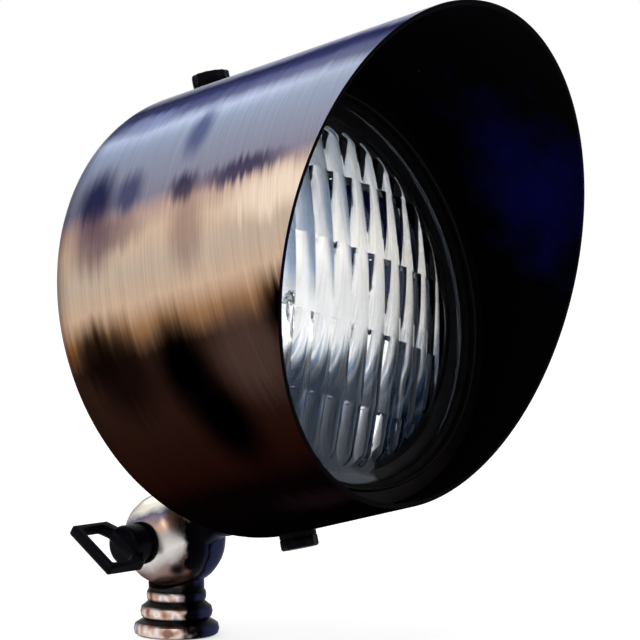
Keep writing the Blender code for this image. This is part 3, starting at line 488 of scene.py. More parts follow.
    def moved(self, net: Net, place: Node, noise: Node, reach: float) -> Node:
        """Shift a place round the cup by a noise, by up to half the reach either way.

        Args:
            net: The material's nodes.
            place: Place round the cup.
            noise: The noise.
            reach: How far apart the furthest shifts are.

        Returns:
            The node that carries the shifted place.
        """
        added = net.add("Math", {0: noise, 1: reach, 2: place}, operation="MULTIPLY_ADD")
        return net.add("Math", {0: added, 1: reach / 2}, operation="SUBTRACT")

    def lay(self, net: Net, colour: Socket, patch: Patch, length: Socket, place: Node) -> Socket:
        """Lay a patch, with soft edges, over the colour so far.

        Args:
            net: The material's nodes.
            colour: Colour so far.
            patch: The patch.
            length: Distance from the cup's back, in millimetres.
            place: Place round the cup, 0 at its top and 1 at its bottom.

        Returns:
            The colour with the patch on it.
        """
        ends = {1: patch.middle - patch.half_length, 2: patch.middle + patch.half_length, 3: -1.0}
        along = net.add("MapRange", {0: length, **ends}, clamp=False)
        low, high = patch.angle - patch.half_angle, patch.angle + patch.half_angle
        across = net.add("MapRange", {0: place, 1: low / 180, 2: high / 180, 3: -1.0}, clamp=False)
        spot = net.add("CombineXYZ", {0: along, 1: across})
        away = net.add("VectorMath", {0: spot}, operation="LENGTH").outputs["Value"]
        return self.fade(net, colour, linear(patch.colour), away, self.patch_edges, patch.strength)


@dataclass(frozen=True)
class HoodBlack(Finish):
    """Inside of the brass cup, blackened by acid and lacquered: a deep black with a blue cast.

    The eye sees almost nothing of it but a clouded navy gleam half-way up each side, a painted
    reflection, and the metal's grain, drawn 0.8 mm wide because the real one is too fine to show.
    """

    clouds_per_mm: float = 0.09
    grain_per_mm: float = 1.2
    grain_strength: float = 0.08
    gleam: str = "090948"
    gleam_middle: Place = (0.0, 20.0, 85.0)
    gleam_spread: Place = (0.0, 1 / 34, 1 / 23)
    gleam_edges: Point = (1.6, 0.5)
    clouding: float = 1.1

    def pattern(self, net: Net) -> Inputs:
        """A clouded navy gleam, a painted reflection, over the black.

        Args:
            net: The material's nodes.

        Returns:
            The shader's inputs that vary.
        """
        point = self.in_millimetres(net, on_lamp=True)
        # Painted navy reflection: a clouded band half-way up the hood.
        offset = net.add("VectorMath", {0: point, 1: self.gleam_middle}, operation="SUBTRACT")
        spread = net.add("VectorMath", {0: offset, 1: self.gleam_spread}, operation="MULTIPLY")
        away = net.add("VectorMath", {0: spread}, operation="LENGTH").outputs["Value"]
        inputs = {"Vector": point, "Scale": self.clouds_per_mm, "Detail": self.clouds_detail}
        clouds = net.add("TexNoise", inputs)
        clouded = net.add("Math", {0: clouds, 1: self.clouding, 2: away}, operation="MULTIPLY_ADD")
        tinted = self.fade(net, linear(self.colour), linear(self.gleam), clouded, self.gleam_edges)
        return {"Base Color": tinted, "Normal": self.grain(net, point)}


@dataclass(frozen=True)
class Spot:
    """A small round spot of colour on the knuckle, in millimetres."""

    middle: Place
    radius: float
    colour: str


@dataclass(frozen=True)
class CastBrass(AgedAndShadedBrass):
    """Brass cast in sand, tumbled bright and aged with acid.

    Its colour is painted light and shade over the patina: painted highlights of cream and
    silver on the upper faces, peach and brown between them, painted shade of indigo black in
    the grooves and on the sheltered side, and a painted blue reflection along that side's rim.
    The sand's grain of about 0.3 mm is drawn 1.1 mm wide to show.
    """

    clouds_per_mm: float = 0.16
    grain_per_mm: float = 0.9
    grain_detail: float = 3.0
    grain_strength: float = 0.22
    grain_depth: float = 0.12
    polish: Point = (0.10, -0.06)
    side: Place = (0.654, -0.756, 0.0)
    side_waver: float = 11.0
    side_edges: Point = (6.6, 9.8)
    slant: Place = (-0.30, 0.35, 0.887)
    slant_waver: float = 5.0
    slant_reach: float = 14.0
    pivot_height: float = 28.4
    spot_edges: Point = (1.3, 0.5)
    speckle_per_mm: float = 0.27
    speckle_detail: float = 1.0
    speckle_edges: Point = (15.5, 13.0)
    base_height: float = 20.0
    spots: tuple[Spot, ...] = (
        Spot((-8.6, -8.3, 21.6), 2.7, "17131a"),
        Spot((-6.0, -10.3, 22.0), 2.4, "8a5540"),
    )

    def pattern(self, net: Net) -> Inputs:
        """Slanted painted light, spots, painted shade on the sheltered side and in the grooves.

        Args:
            net: The material's nodes.

        Returns:
            The shader's inputs that vary.
        """
        point = self.in_millimetres(net)
        inputs = {"Vector": point, "Scale": self.clouds_per_mm, "Detail": self.clouds_detail}
        clouds = net.add("TexNoise", inputs)
        colour = self.painted_slant_light(net, point, clouds)
        for spot in self.spots:
            away = net.add("VectorMath", {0: point, 1: spot.middle}, operation="DISTANCE").outputs["Value"]
            edges = (spot.radius * self.spot_edges[0], spot.radius * self.spot_edges[1])
            colour = self.fade(net, colour, linear(spot.colour), away, edges)

        across = net.add("VectorMath", {0: point, 1: self.side}, operation="DOT_PRODUCT").outputs["Value"]
        wavered = net.add("Math", {0: clouds, 1: self.side_waver, 2: across}, operation="MULTIPLY_ADD")
        flat = net.add("VectorMath", {0: point, 1: FLATTEN}, operation="MULTIPLY")
        radius = net.add("VectorMath", {0: flat}, operation="LENGTH").outputs["Value"]
        rim = net.add("Math", {0: across, 1: radius}, operation="DIVIDE")
        # Painted shade on the side away from the light, turning to a painted blue reflection at its rim.
        stops = {0.0: "040308", 0.60: "07070f", 0.72: "262b4a", 1.0: "343a5c"}
        dark = fill_ramp(net.add("ValToRGB", {0: rim}), stops)
        colour = self.fade(net, colour, dark, wavered, self.side_edges)
        return self.aged(net, self.grooves(net, point, colour), clouds, self.grain(net, point))

    def painted_slant_light(self, net: Net, point: Node, clouds: Node) -> Socket:
        """Broad painted light and shade that slant over the knuckle, and a speckle of rubbed spots on the
        base.

        Args:
            net: The material's nodes.
            point: Place in millimetres.
            clouds: Slow noise.

        Returns:
            The colour: painted light and shade, speckled on the base.
        """
        along = net.add("VectorMath", {0: point, 1: self.slant}, operation="DOT_PRODUCT").outputs["Value"]
        wavered = net.add("Math", {0: clouds, 1: self.slant_waver, 2: along}, operation="MULTIPLY_ADD")
        middle = self.pivot_height * self.slant[2] + self.slant_waver / 2
        ends = {1: middle - self.slant_reach, 2: middle + self.slant_reach}
        # Painted light and shade slanting over the knuckle: brown painted shade low down, a cream painted
        # highlight at the top.
        stops = {
            0.08: "4a342c", 0.22: "876f68", 0.33: "8c7c78", 0.45: "d2cecb",
            0.60: "b2aaa6", 0.75: "c9a389", 0.86: "62617a", 0.94: "efeadb",
        }
        place = net.add("MapRange", {0: wavered, **ends})
        slanted = fill_ramp(net.add("ValToRGB", {0: place}), stops)
        inputs = {"Vector": point, "Scale": self.speckle_per_mm, "Detail": self.speckle_detail}
        spots = net.add("TexNoise", inputs)
        stops = {0.30: "8d6a5c", 0.44: "d6b8a8", 0.54: "e8dedb", 0.68: "b5a6b2"}
        speckled = fill_ramp(net.add("ValToRGB", {0: spots}), stops)
        height = net.add("SeparateXYZ", {0: point}).outputs[2]
        on_base = net.add("MapRange", {0: height, 1: self.speckle_edges[0], 2: self.speckle_edges[1]})
        inputs = {0: on_base, 6: slanted, 7: speckled}
        return net.add("Mix", inputs, data_type="RGBA").outputs[2]

    def grooves(self, net: Net, point: Node, colour: Socket) -> Socket:
        """Paint shade into the grooves between the base's beads, and at the base's foot.

        Args:
            net: The material's nodes.
            point: Place in millimetres.
            colour: Colour of the metal so far.

        Returns:
            The darkened colour.
        """
        height = net.add("SeparateXYZ", {0: point}).outputs[2]
        share = net.add("Math", {0: height, 1: self.base_height}, operation="DIVIDE")
        # Painted shade: dark in the grooves, and darker at the foot.
        levels = {
            0.0: 0.55, 0.9: 1.0, 3.1: 1.0, 3.9: 0.03, 5.2: 0.03, 6.2: 1.0, 7.9: 1.0,
            8.9: 0.03, 10.3: 0.03, 11.2: 1.0, 12.2: 0.95, 13.1: 0.03, 14.6: 0.10, 16.5: 1.0,
        }
        stops = {level / self.base_height: value for level, value in levels.items()}
        shade = fill_ramp(net.add("ValToRGB", {0: share}), stops)
        inputs = {0: 1.0, 6: colour, 7: shade}
        return net.add("Mix", inputs, data_type="RGBA", blend_type="MULTIPLY").outputs[2]


@dataclass(frozen=True)
class SatinEnamel(Finish):
    """Black enamel sprayed on pressed steel and stoved.

    The eye sees an even satin with a slight orange peel, 1.2 mm from crest to crest as on real
    enamel, and a brown cast where it is thin.
    """

    second: str = "0c0708"
    tone_range: Point = (0.42, 0.66)
    clouds_per_mm: float = 0.09
    grain_per_mm: float = 0.8
    grain_detail: float = 1.0
    grain_strength: float = 0.10
    grain_depth: float = 0.06


@dataclass(frozen=True)
class Moulding(Finish):
    """Black nylon or rubber from a mould, plastic drawn over a wire, or the painted shade on the lamp's
    rim.

    The eye sees an even dark body, faintly clouded, with a fine grain. The real grain is under
    0.1 mm wide and is drawn 0.7 mm wide to show.
    """

    second: str = "08080f"
    clouds_detail: float = 2.0
    grain_strength: float = 0.15


@dataclass(frozen=True)
class PlatedSteel(Finish):
    """Turned or pressed steel, plated with zinc.

    The eye sees a dull silver with a faint bloom of blue and yellow from the plating bath, in
    clouds 2 mm wide.
    """

    clouds_per_mm: float = 0.5

    def tones(self) -> Stops:
        """Clouded tones of the plating."""
        return {0.35: "a8a38d", 0.52: self.colour, 0.68: "c3cbd6"}


@dataclass(frozen=True)
class PressedGlass(Finish):
    """Clear glass pressed in a polished mould.

    The eye sees sharp lights, and slow ripples, 6 mm wide, where the glass shrank as it set.
    """

    grain_per_mm: float = 0.16
    grain_detail: float = 1.0
    grain_strength: float = 0.10
    grain_depth: float = 0.4


@dataclass(frozen=True)
class AluminisedGlass(Finish):
    """Glass bowl with aluminium evaporated on it.

    Its colour is painted reflection and shade: a mirror, bright in the middle, with a painted blue
    reflection in a crescent on one side and a streaked blue-grey painted shade low down. The
    streaks are 4 mm wide.
    """

    clouds_per_mm: float = 0.05
    clouds_detail: float = 2.0
    waver: float = 12.0
    reach: float = 54.0
    streak_scale: Place = (0.26, 0.035, 0.0)
    streak_reach: float = 56.0
    side_range: Point = (21.0, 50.0)
    side_lift: float = 14.5
    crescent: str = "58749a"
    crescent_middle: Place = (13.0, 24.0, 0.0)
    crescent_radius: float = 26.0
    crescent_strength: float = 0.85

    def pattern(self, net: Net) -> Inputs:
        """Streaked painted shade by height, lower to one side, and the painted blue reflection of the
        crescent.

        Args:
            net: The material's nodes.

        Returns:
            The shader's inputs that vary.
        """
        point = self.in_millimetres(net, on_lamp=True)
        axes = net.add("SeparateXYZ", {0: point}).outputs
        inputs = {"Vector": point, "Scale": self.clouds_per_mm, "Detail": self.clouds_detail}
        clouds = net.add("TexNoise", inputs)
        wavered = net.add("Math", {0: clouds, 1: self.waver, 2: axes[1]}, operation="MULTIPLY_ADD")
        inputs = {0: axes[0], 1: self.side_range[0], 2: self.side_range[1], 4: self.side_lift}
        lifted = net.add("Math", {0: wavered, 1: net.add("MapRange", inputs)}, operation="ADD")
        drawn = net.add("VectorMath", {0: point, 1: self.streak_scale}, operation="MULTIPLY")
        streaks = net.add("TexNoise", {"Vector": drawn, "Scale": 1.0, "Detail": self.clouds_detail})
        inputs = {0: streaks, 1: self.streak_reach, 2: lifted}
        streaked = net.add("Math", inputs, operation="MULTIPLY_ADD")
        middle = self.streak_reach / 2
        place = net.add("MapRange", {0: streaked, 1: middle - self.reach, 2: middle + self.reach})
        # Painted shade low down, dark blue, rising to a painted bright middle.
        stops = {
            0.10: "162c50", 0.30: "345e8c", 0.38: "879fbc",
            0.48: self.colour, 0.80: "f3efe8", 1.00: "c9d2dc",
        }
        bloom = fill_ramp(net.add("ValToRGB", {0: place}), stops)
        flat = net.add("VectorMath", {0: point, 1: FLATTEN}, operation="MULTIPLY")
        inputs = {0: flat, 1: self.crescent_middle}
        away = net.add("VectorMath", inputs, operation="DISTANCE").outputs["Value"]
        edges = (self.crescent_radius, self.crescent_radius / 3)
        tint = linear(self.crescent)
        return {"Base Color": self.fade(net, bloom, tint, away, edges, self.crescent_strength, "MULTIPLY")}


def make_finishes() -> dict[str, Material]:
    """Make every material of the object.

    Returns:
        The materials by a short name.
    """
    finishes = {
        "housing": SpunBrass("spun_brass_patina_painted_light", "9c8474", 0.30, metallic=1.0, specular=0.0, edge="82828a"),
        "hood": HoodBlack("hood_inside_blackened", "030305", 0.50, specular=0.01),
        "cast": CastBrass("cast_brass_patina_painted_light", "cbbab2", 0.30, metallic=1.0, specular=0.02, edge="8e8a90"),
        "ring": SatinEnamel("satin_black_enamel", "050405", 0.42, specular=0.05),
        "moulding": Moulding("black_moulded_nylon", "03030a", 0.36, specular=0.03),
        "rubber": Moulding("black_rubber_seal", "050506", 0.75, specular=0.06, second="0c0c0e"),
        "zinc": PlatedSteel("zinc_plated_steel", "b9bcc0", 0.34, metallic=1.0),
        "lens": PressedGlass("pressed_lens_glass", "fdfeff", 0.045, transmission=1.0, edge="5a7394"),
        "capsule": PressedGlass("clear_quartz_capsule", "ffffff", 0.0, ior=1.46, transmission=1.0),
        "mirror": AluminisedGlass("aluminised_glass", "feffff", 0.20, metallic=1.0),
        "frit": Moulding("dark_rim_painted_shade", "070809", 0.45, specular=0.15, second="101216"),
        "lead": Moulding("lead_insulation_black", "0d0d0e", 0.55, specular=0.2, second="1c1c1e"),
    }
    return {name: finish.material() for name, finish in finishes.items()}


# Modelling helpers


def deselect_all() -> None:
    """Leave nothing selected."""
    bpy.ops.object.select_all(action="DESELECT")


def only(piece: Piece) -> None:
    """Select the piece alone and make it active.

    Args:
        piece: The piece.
    """
    deselect_all()
    piece.select_set(True)
    bpy.context.view_layer.objects.active = piece


@contextmanager
def editing() -> Iterator[None]:
    """Edit mode of the active piece, with all of it selected."""
    bpy.ops.object.mode_set(mode="EDIT")
    bpy.ops.mesh.select_all(action="SELECT")
    yield
    bpy.ops.object.mode_set(mode="OBJECT")


def face_outwards() -> None:
    """Turn every face to the outside, in edit mode."""
    bpy.ops.mesh.select_all(action="SELECT")
    bpy.ops.mesh.normals_make_consistent(inside=False)


def merge_doubles() -> None:
    """Merge the vertices that lie together, in edit mode."""
    bpy.ops.mesh.select_all(action="SELECT")
    bpy.ops.mesh.remove_doubles(threshold=MERGE_DISTANCE)


def select(piece: Piece, pick: Pick, wanted: Callable[..., bool]) -> None:
    """Select, in edit mode, the vertices or edges that pass a test.

    Args:
        piece: The piece in edit mode.
        pick: What is selected.
        wanted: The test of one vertex or edge.
    """
    bpy.ops.mesh.select_mode(type=pick.value)
    bpy.ops.mesh.select_all(action="DESELECT")
    shape = bmesh.from_edit_mesh(piece.data)
    for item in shape.verts if pick is Pick.VERTICES else shape.edges:
        if wanted(item):
            item.select_set(True)
    shape.select_flush_mode()
    bmesh.update_edit_mesh(piece.data)


def step_out(start: Point, end: Point) -> None:
    """Extrude the selected circle to the outline's next point.

    Args:
        start: Height and radius of the selected circle.
        end: Height and radius of the next one.
    """
    move = {"value": (0, 0, (end[0] - start[0]) * MM)}
    bpy.ops.mesh.extrude_region_move(TRANSFORM_OT_translate=move)
    scale = end[1] / start[1]
    bpy.ops.transform.resize(value=(scale, scale, 1), center_override=(0, 0, end[0] * MM))


def turned(name: str, outline: Sequence[Point], segments: int, closed: bool = False) -> Piece:
    """Turn an outline about Z by extruding a circle from point to point.

    Args:
        name: Name of the piece.
        outline: Height and radius of each point. An open outline may start on the axis.
        segments: Sides of the circle.
        closed: Whether the last point joins the first, as on a ring.

    Returns:
        The piece, about Z.
    """
    deselect_all()
    on_axis = outline[0][1] == 0
    height, radius = outline[1] if on_axis else outline[0]
    fill = "TRIFAN" if on_axis else "NOTHING"
    start = {"vertices": segments, "radius": radius * MM, "location": (0, 0, height * MM)}
    bpy.ops.mesh.primitive_circle_add(fill_type=fill, **start)
    piece = bpy.context.object
    piece.name = name
    bpy.ops.object.transform_apply(location=True)
    points = list(outline[2:] if on_axis else outline[1:])
    if closed:
        points.append(outline[0])
    with editing():
        if on_axis:
            middle = radius * MM / 2
            select(piece, Pick.VERTICES, lambda vertex: vertex.co.xy.length < middle)
            bpy.ops.transform.translate(value=(0, 0, (outline[0][0] - height) * MM))
            select(piece, Pick.VERTICES, lambda vertex: vertex.co.xy.length > middle)
        before = (height, radius)
        for point in points:
            step_out(before, point)
            before = point
        merge_doubles()
        face_outwards()
    return piece


def apply_modifier(piece: Piece, kind: str, **settings: object) -> None:
    """Add a modifier with its settings and apply it.

    Args:
        piece: The piece.
        kind: Kind of modifier.
        settings: Its properties.
    """
    only(piece)
    change = piece.modifiers.new(kind.title(), kind)
    for name, value in settings.items():
        setattr(change, name, value)
    bpy.ops.object.modifier_apply(modifier=change.name)


def cut(piece: Piece, tool: Piece, operation: str = "DIFFERENCE") -> None:
    """Cut the piece with a tool, or join them, and throw the tool away.

    Args:
        piece: The piece.
        tool: The tool.
        operation: What is done with it.
    """
    apply_modifier(piece, "BOOLEAN", object=tool, operation=operation, solver="EXACT")
    bpy.data.objects.remove(tool)


def stud_drill(reach: float) -> Piece:
    """A round bar along the knobs' axis, to cut the studs' holes with.

    Args:
        reach: How far it reaches up and down.

    Returns:
        The bar, in the lamp's frame.
    """
    outline = [(-reach, 0), (-reach, STUD_HOLE_RADIUS), (reach, STUD_HOLE_RADIUS)]
    piece = turned("stud_drill", outline, STUD_HOLE_SIDES)
    with editing():
        select(piece, Pick.VERTICES, lambda vertex: vertex.co.z > 0)
        bpy.ops.mesh.edge_face_add()
    settle(piece, KNOB_PLACE)
    return piece


def settle(piece: Piece, place: Matrix) -> None:
    """Put the piece in its place, with the place in its mesh.

    Args:
        piece: The piece.
        place: Where it goes.
    """
    piece.matrix_world = place
    only(piece)
    bpy.ops.object.transform_apply(location=True, rotation=True, scale=True)


def paint(piece: Piece, *materials: Material) -> None:
    """Give the piece its materials.

    Args:
        piece: The piece.
        materials: The materials, in order.
    """
    piece.data.materials.clear()
    for material in materials:
        piece.data.materials.append(material)


def keep(piece: Piece, body: Body, slot: Slot, *nodes: str) -> None:
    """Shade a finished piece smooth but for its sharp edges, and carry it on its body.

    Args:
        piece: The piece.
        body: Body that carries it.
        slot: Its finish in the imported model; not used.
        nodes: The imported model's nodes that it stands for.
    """
    only(piece)
    bpy.ops.object.shade_smooth_by_angle(angle=SMOOTH_ANGLE)
    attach(piece, body.value)
    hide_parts(*nodes)
    log.info("%s rides on %s, %d faces", piece.name, body.value, len(piece.data.polygons))


def arc(centre: Point, radii: Point, start: float, end: float, steps: int) -> list[Point]:
    """Points along an ellipse's arc.

    Args:
        centre: Height and radius of its centre.
        radii: Its half sizes along the axis and away from it.
        start: First angle from the axis, in degrees.
        end: Last angle.
        steps: Number of chords.

    Returns:
        Height and radius of each point.
    """
    points = []
    for step in range(steps + 1):
        angle = math.radians(start + (end - start) * step / steps)
        points.append((centre[0] + radii[0] * math.cos(angle), centre[1] + radii[1] * math.sin(angle)))
    return points


def sector(heights: Point, radii: Point, middle: float, angle: float) -> Piece:
    """A curved bar: a rectangle spun part of the way round Z.

    Args:
        heights: Its two ends along Z.
        radii: Its inner and outer radius.
        middle: Angle of its middle from X, in degrees.
        angle: How far it reaches round, in degrees.

    Returns:
        The bar, about Z.
    """
    deselect_all()
    centre = (sum(radii) * MM / 2, 0, sum(heights) * MM / 2)
    bpy.ops.mesh.primitive_plane_add(size=1, location=centre, rotation=(math.pi / 2, 0, 0))
    piece = bpy.context.object
    piece.name = "sector_tool"
    piece.scale = ((radii[1] - radii[0]) * MM, (heights[1] - heights[0]) * MM, 1)
    bpy.ops.object.transform_apply(location=True, rotation=True, scale=True)
    piece.rotation_euler.z = math.radians(middle - angle / 2)
    bpy.ops.object.transform_apply(rotation=True)
    with editing():
        turn = {"steps": SECTOR_STEPS, "angle": math.radians(angle)}
        bpy.ops.mesh.spin(**turn, center=(0, 0, 0), axis=(0, 0, 1))
        merge_doubles()
        face_outwards()
    return piece


# Sub-assemblies


@dataclass
class SubAssembly:
    """Pieces that are made together, and the finishes that they take."""

    finishes: dict[str, Material]

    def build(self) -> None:
        """Make the pieces: each sub-assembly says how."""
        raise NotImplementedError


@dataclass
class Housing(SubAssembly):
    """The spun cup with its slanted hood."""

    radius: float = 65.0
    wall: float = 1.5
    corner: float = 19.8
    top_length: float = 122.9
    bottom_length: float = 66.9
    rim_bevel: float = 0.35
    rim_angle: float = math.radians(50)
    segments: int = 192
    corner_steps: int = 16

    def build(self) -> None:
        """Spin the cup, give it its wall, cut its front on a slant and drill it."""
        centre = (self.corner, self.radius - self.corner)
        outline = [(0.0, 0.0)] + arc(centre, (self.corner, self.corner), 180, 90, self.corner_steps)
        outline.append((self.top_length + self.corner, self.radius))
        cup = turned("spun_housing", outline, self.segments)
        paint(cup, self.finishes["housing"], self.finishes["hood"])
        apply_modifier(cup, "SOLIDIFY", thickness=self.wall * MM, offset=-1.0, material_offset=1)
        self.slant_front(cup)
        limits = {"segments": BEVEL_SEGMENTS, "angle_limit": self.rim_angle}
        apply_modifier(cup, "BEVEL", width=self.rim_bevel * MM, **limits)
        cut(cup, stud_drill(self.radius + self.wall))
        settle(cup, LAMP_PLACE)
        keep(cup, Body.HEAD, Slot.HOUSING, "housing_shell")

    def slant_front(self, cup: Piece) -> None:
        """Cut both walls on one slanted plane, and close the rim between them.

        Args:
            cup: The cup with its two walls.
        """
        middle = (self.top_length + self.bottom_length) / 2
        slope = (self.top_length - self.bottom_length) / (2 * self.radius)
        plane = {"plane_co": (0, 0, middle * MM), "plane_no": (0, -slope, 1)}
        with editing():
            bpy.ops.mesh.bisect(**plane, clear_outer=True, threshold=MERGE_DISTANCE)
            select(cup, Pick.EDGES, lambda edge: edge.is_boundary)
            bpy.ops.mesh.bridge_edge_loops()
            cup.active_material_index = 1
            bpy.ops.object.material_slot_assign()
            face_outwards()


@dataclass
class FrontRing(SubAssembly):
    """The enamelled ring that holds the lamp, with its bead, straps and tabs."""

    opening: float = 57.6
    skirt_inner: float = 60.5
    skirt_outer: float = 61.7
    flange: float = 63.0
    plate_back: float = 56.5
    plate: float = 1.2
    bead_width: float = 1.1
    bead_height: float = 1.0
    bead_steps: int = 10
    tab_back: float = 43.4
    tab_depth: float = 2.6
    tab_angle: float = 16.0
    first_tab: float = 49.5
    strap_inner: float = 61.4
    strap_outer: float = 63.2
    strap_end: float = 20.5
    strap_width: float = 9.0
    edge: float = 0.3
    segments: int = 160

    def build(self) -> None:
        """Turn the ring with its bead, add the straps and tabs, and drill it for the studs."""
        front = self.plate_back + self.plate
        bead_centre = (front, self.opening + self.bead_width / 2)
        outline = [
            (self.plate_back, self.opening),
            *arc(bead_centre, (self.bead_height, self.bead_width / 2), -90, 90, self.bead_steps),
            (front, self.flange - self.edge),
            (front - self.edge, self.flange),
            (self.plate_back, self.flange),
            (self.plate_back, self.skirt_outer),
            (self.tab_back, self.skirt_outer),
            (self.tab_back, self.skirt_inner),
            (self.plate_back, self.skirt_inner),
        ]
        ring = turned("front_ring", outline, self.segments, closed=True)
        tab_width = (self.tab_back, self.tab_back + self.plate)
        tab_reach = (self.skirt_inner - self.tab_depth, self.skirt_inner + self.plate / 2)
        for quarter in range(4):
            cut(ring, sector(tab_width, tab_reach, self.first_tab + 90 * quarter, self.tab_angle), "UNION")
        strap_length = (self.strap_end, self.plate_back + self.plate / 2)
        strap_angle = math.degrees(self.strap_width / self.strap_outer)
        strap_reach = (self.strap_inner, self.strap_outer)
        for middle in (90, -90):
            cut(ring, sector(strap_length, strap_reach, middle, strap_angle), "UNION")
        cut(ring, stud_drill(self.flange + self.plate))
        settle(ring, LAMP_PLACE)
        paint(ring, self.finishes["ring"])
        keep(ring, Body.HEAD, Slot.RING, "lamp_ring")


@dataclass
class Reflector(SubAssembly):
    """Aluminised bowl of the sealed lamp, its rim painted dark as shade."""

    back: float = 12.5
    flange_back: float = 48.6
    front: float = 51.0
    radius: float = 54.6
    rim_radius: float = 57.15
    wall: float = 2.5
    boss_radius: float = 17.0
    boss_height: float = 4.0
    dark_rim_radius: float = 49.0
    segments: int = 128
    steps: int = 24

    def bowl(self, radius: float, rim: float, back: float, first: float) -> list[Point]:
        """Points of a paraboloid, from a share of its radius outwards.

        Args:
            radius: Its radius at the rim.
            rim: Height of its rim.
            back: Height of its back.
            first: The share of its radius at which the points start.

        Returns:
            Height and radius of each point.
        """
        shares = [first + (1 - first) * step / self.steps for step in range(self.steps + 1)]
        return [(back + (rim - back) * share ** 2, radius * share) for share in shares]

    def build(self) -> None:
        """Turn the bowl, its boss behind and its flat rim."""
        first = (self.boss_radius + self.boss_height) / self.radius
        inside = self.bowl(self.radius - self.wall, self.front, self.back + self.wall, 0.0)
        outline = [
            (self.back, 0.0),
            (self.back, self.boss_radius),
            *self.bowl(self.radius, self.flange_back, self.back, first),
            (self.flange_back, self.rim_radius),
            (self.front, self.rim_radius),
            *inside[:0:-1],
        ]
        bowl = turned("mirror_bowl", outline, self.segments)
        height, radius = inside[1]
        close = radius * MM / 2
        low = (self.back + self.wall / 2) * MM
        with editing():
            select(bowl, Pick.EDGES, lambda edge: edge.is_boundary)
            bpy.ops.mesh.edge_face_add()
            bpy.ops.mesh.poke()
            select(bowl, Pick.VERTICES, lambda vertex: vertex.co.xy.length < close and vertex.co.z > low)
            bpy.ops.transform.translate(value=(0, 0, (self.back + self.wall - height) * MM))
        paint(bowl, self.finishes["mirror"], self.finishes["frit"])
        # Faces beyond the dark rim's radius are painted shade, not mirror.
        for face in bowl.data.polygons:
            face.material_index = int(face.center.xy.length > self.dark_rim_radius * MM)
        settle(bowl, LAMP_PLACE)
        keep(bowl, Body.HEAD, Slot.MIRROR, "lamp_reflector")


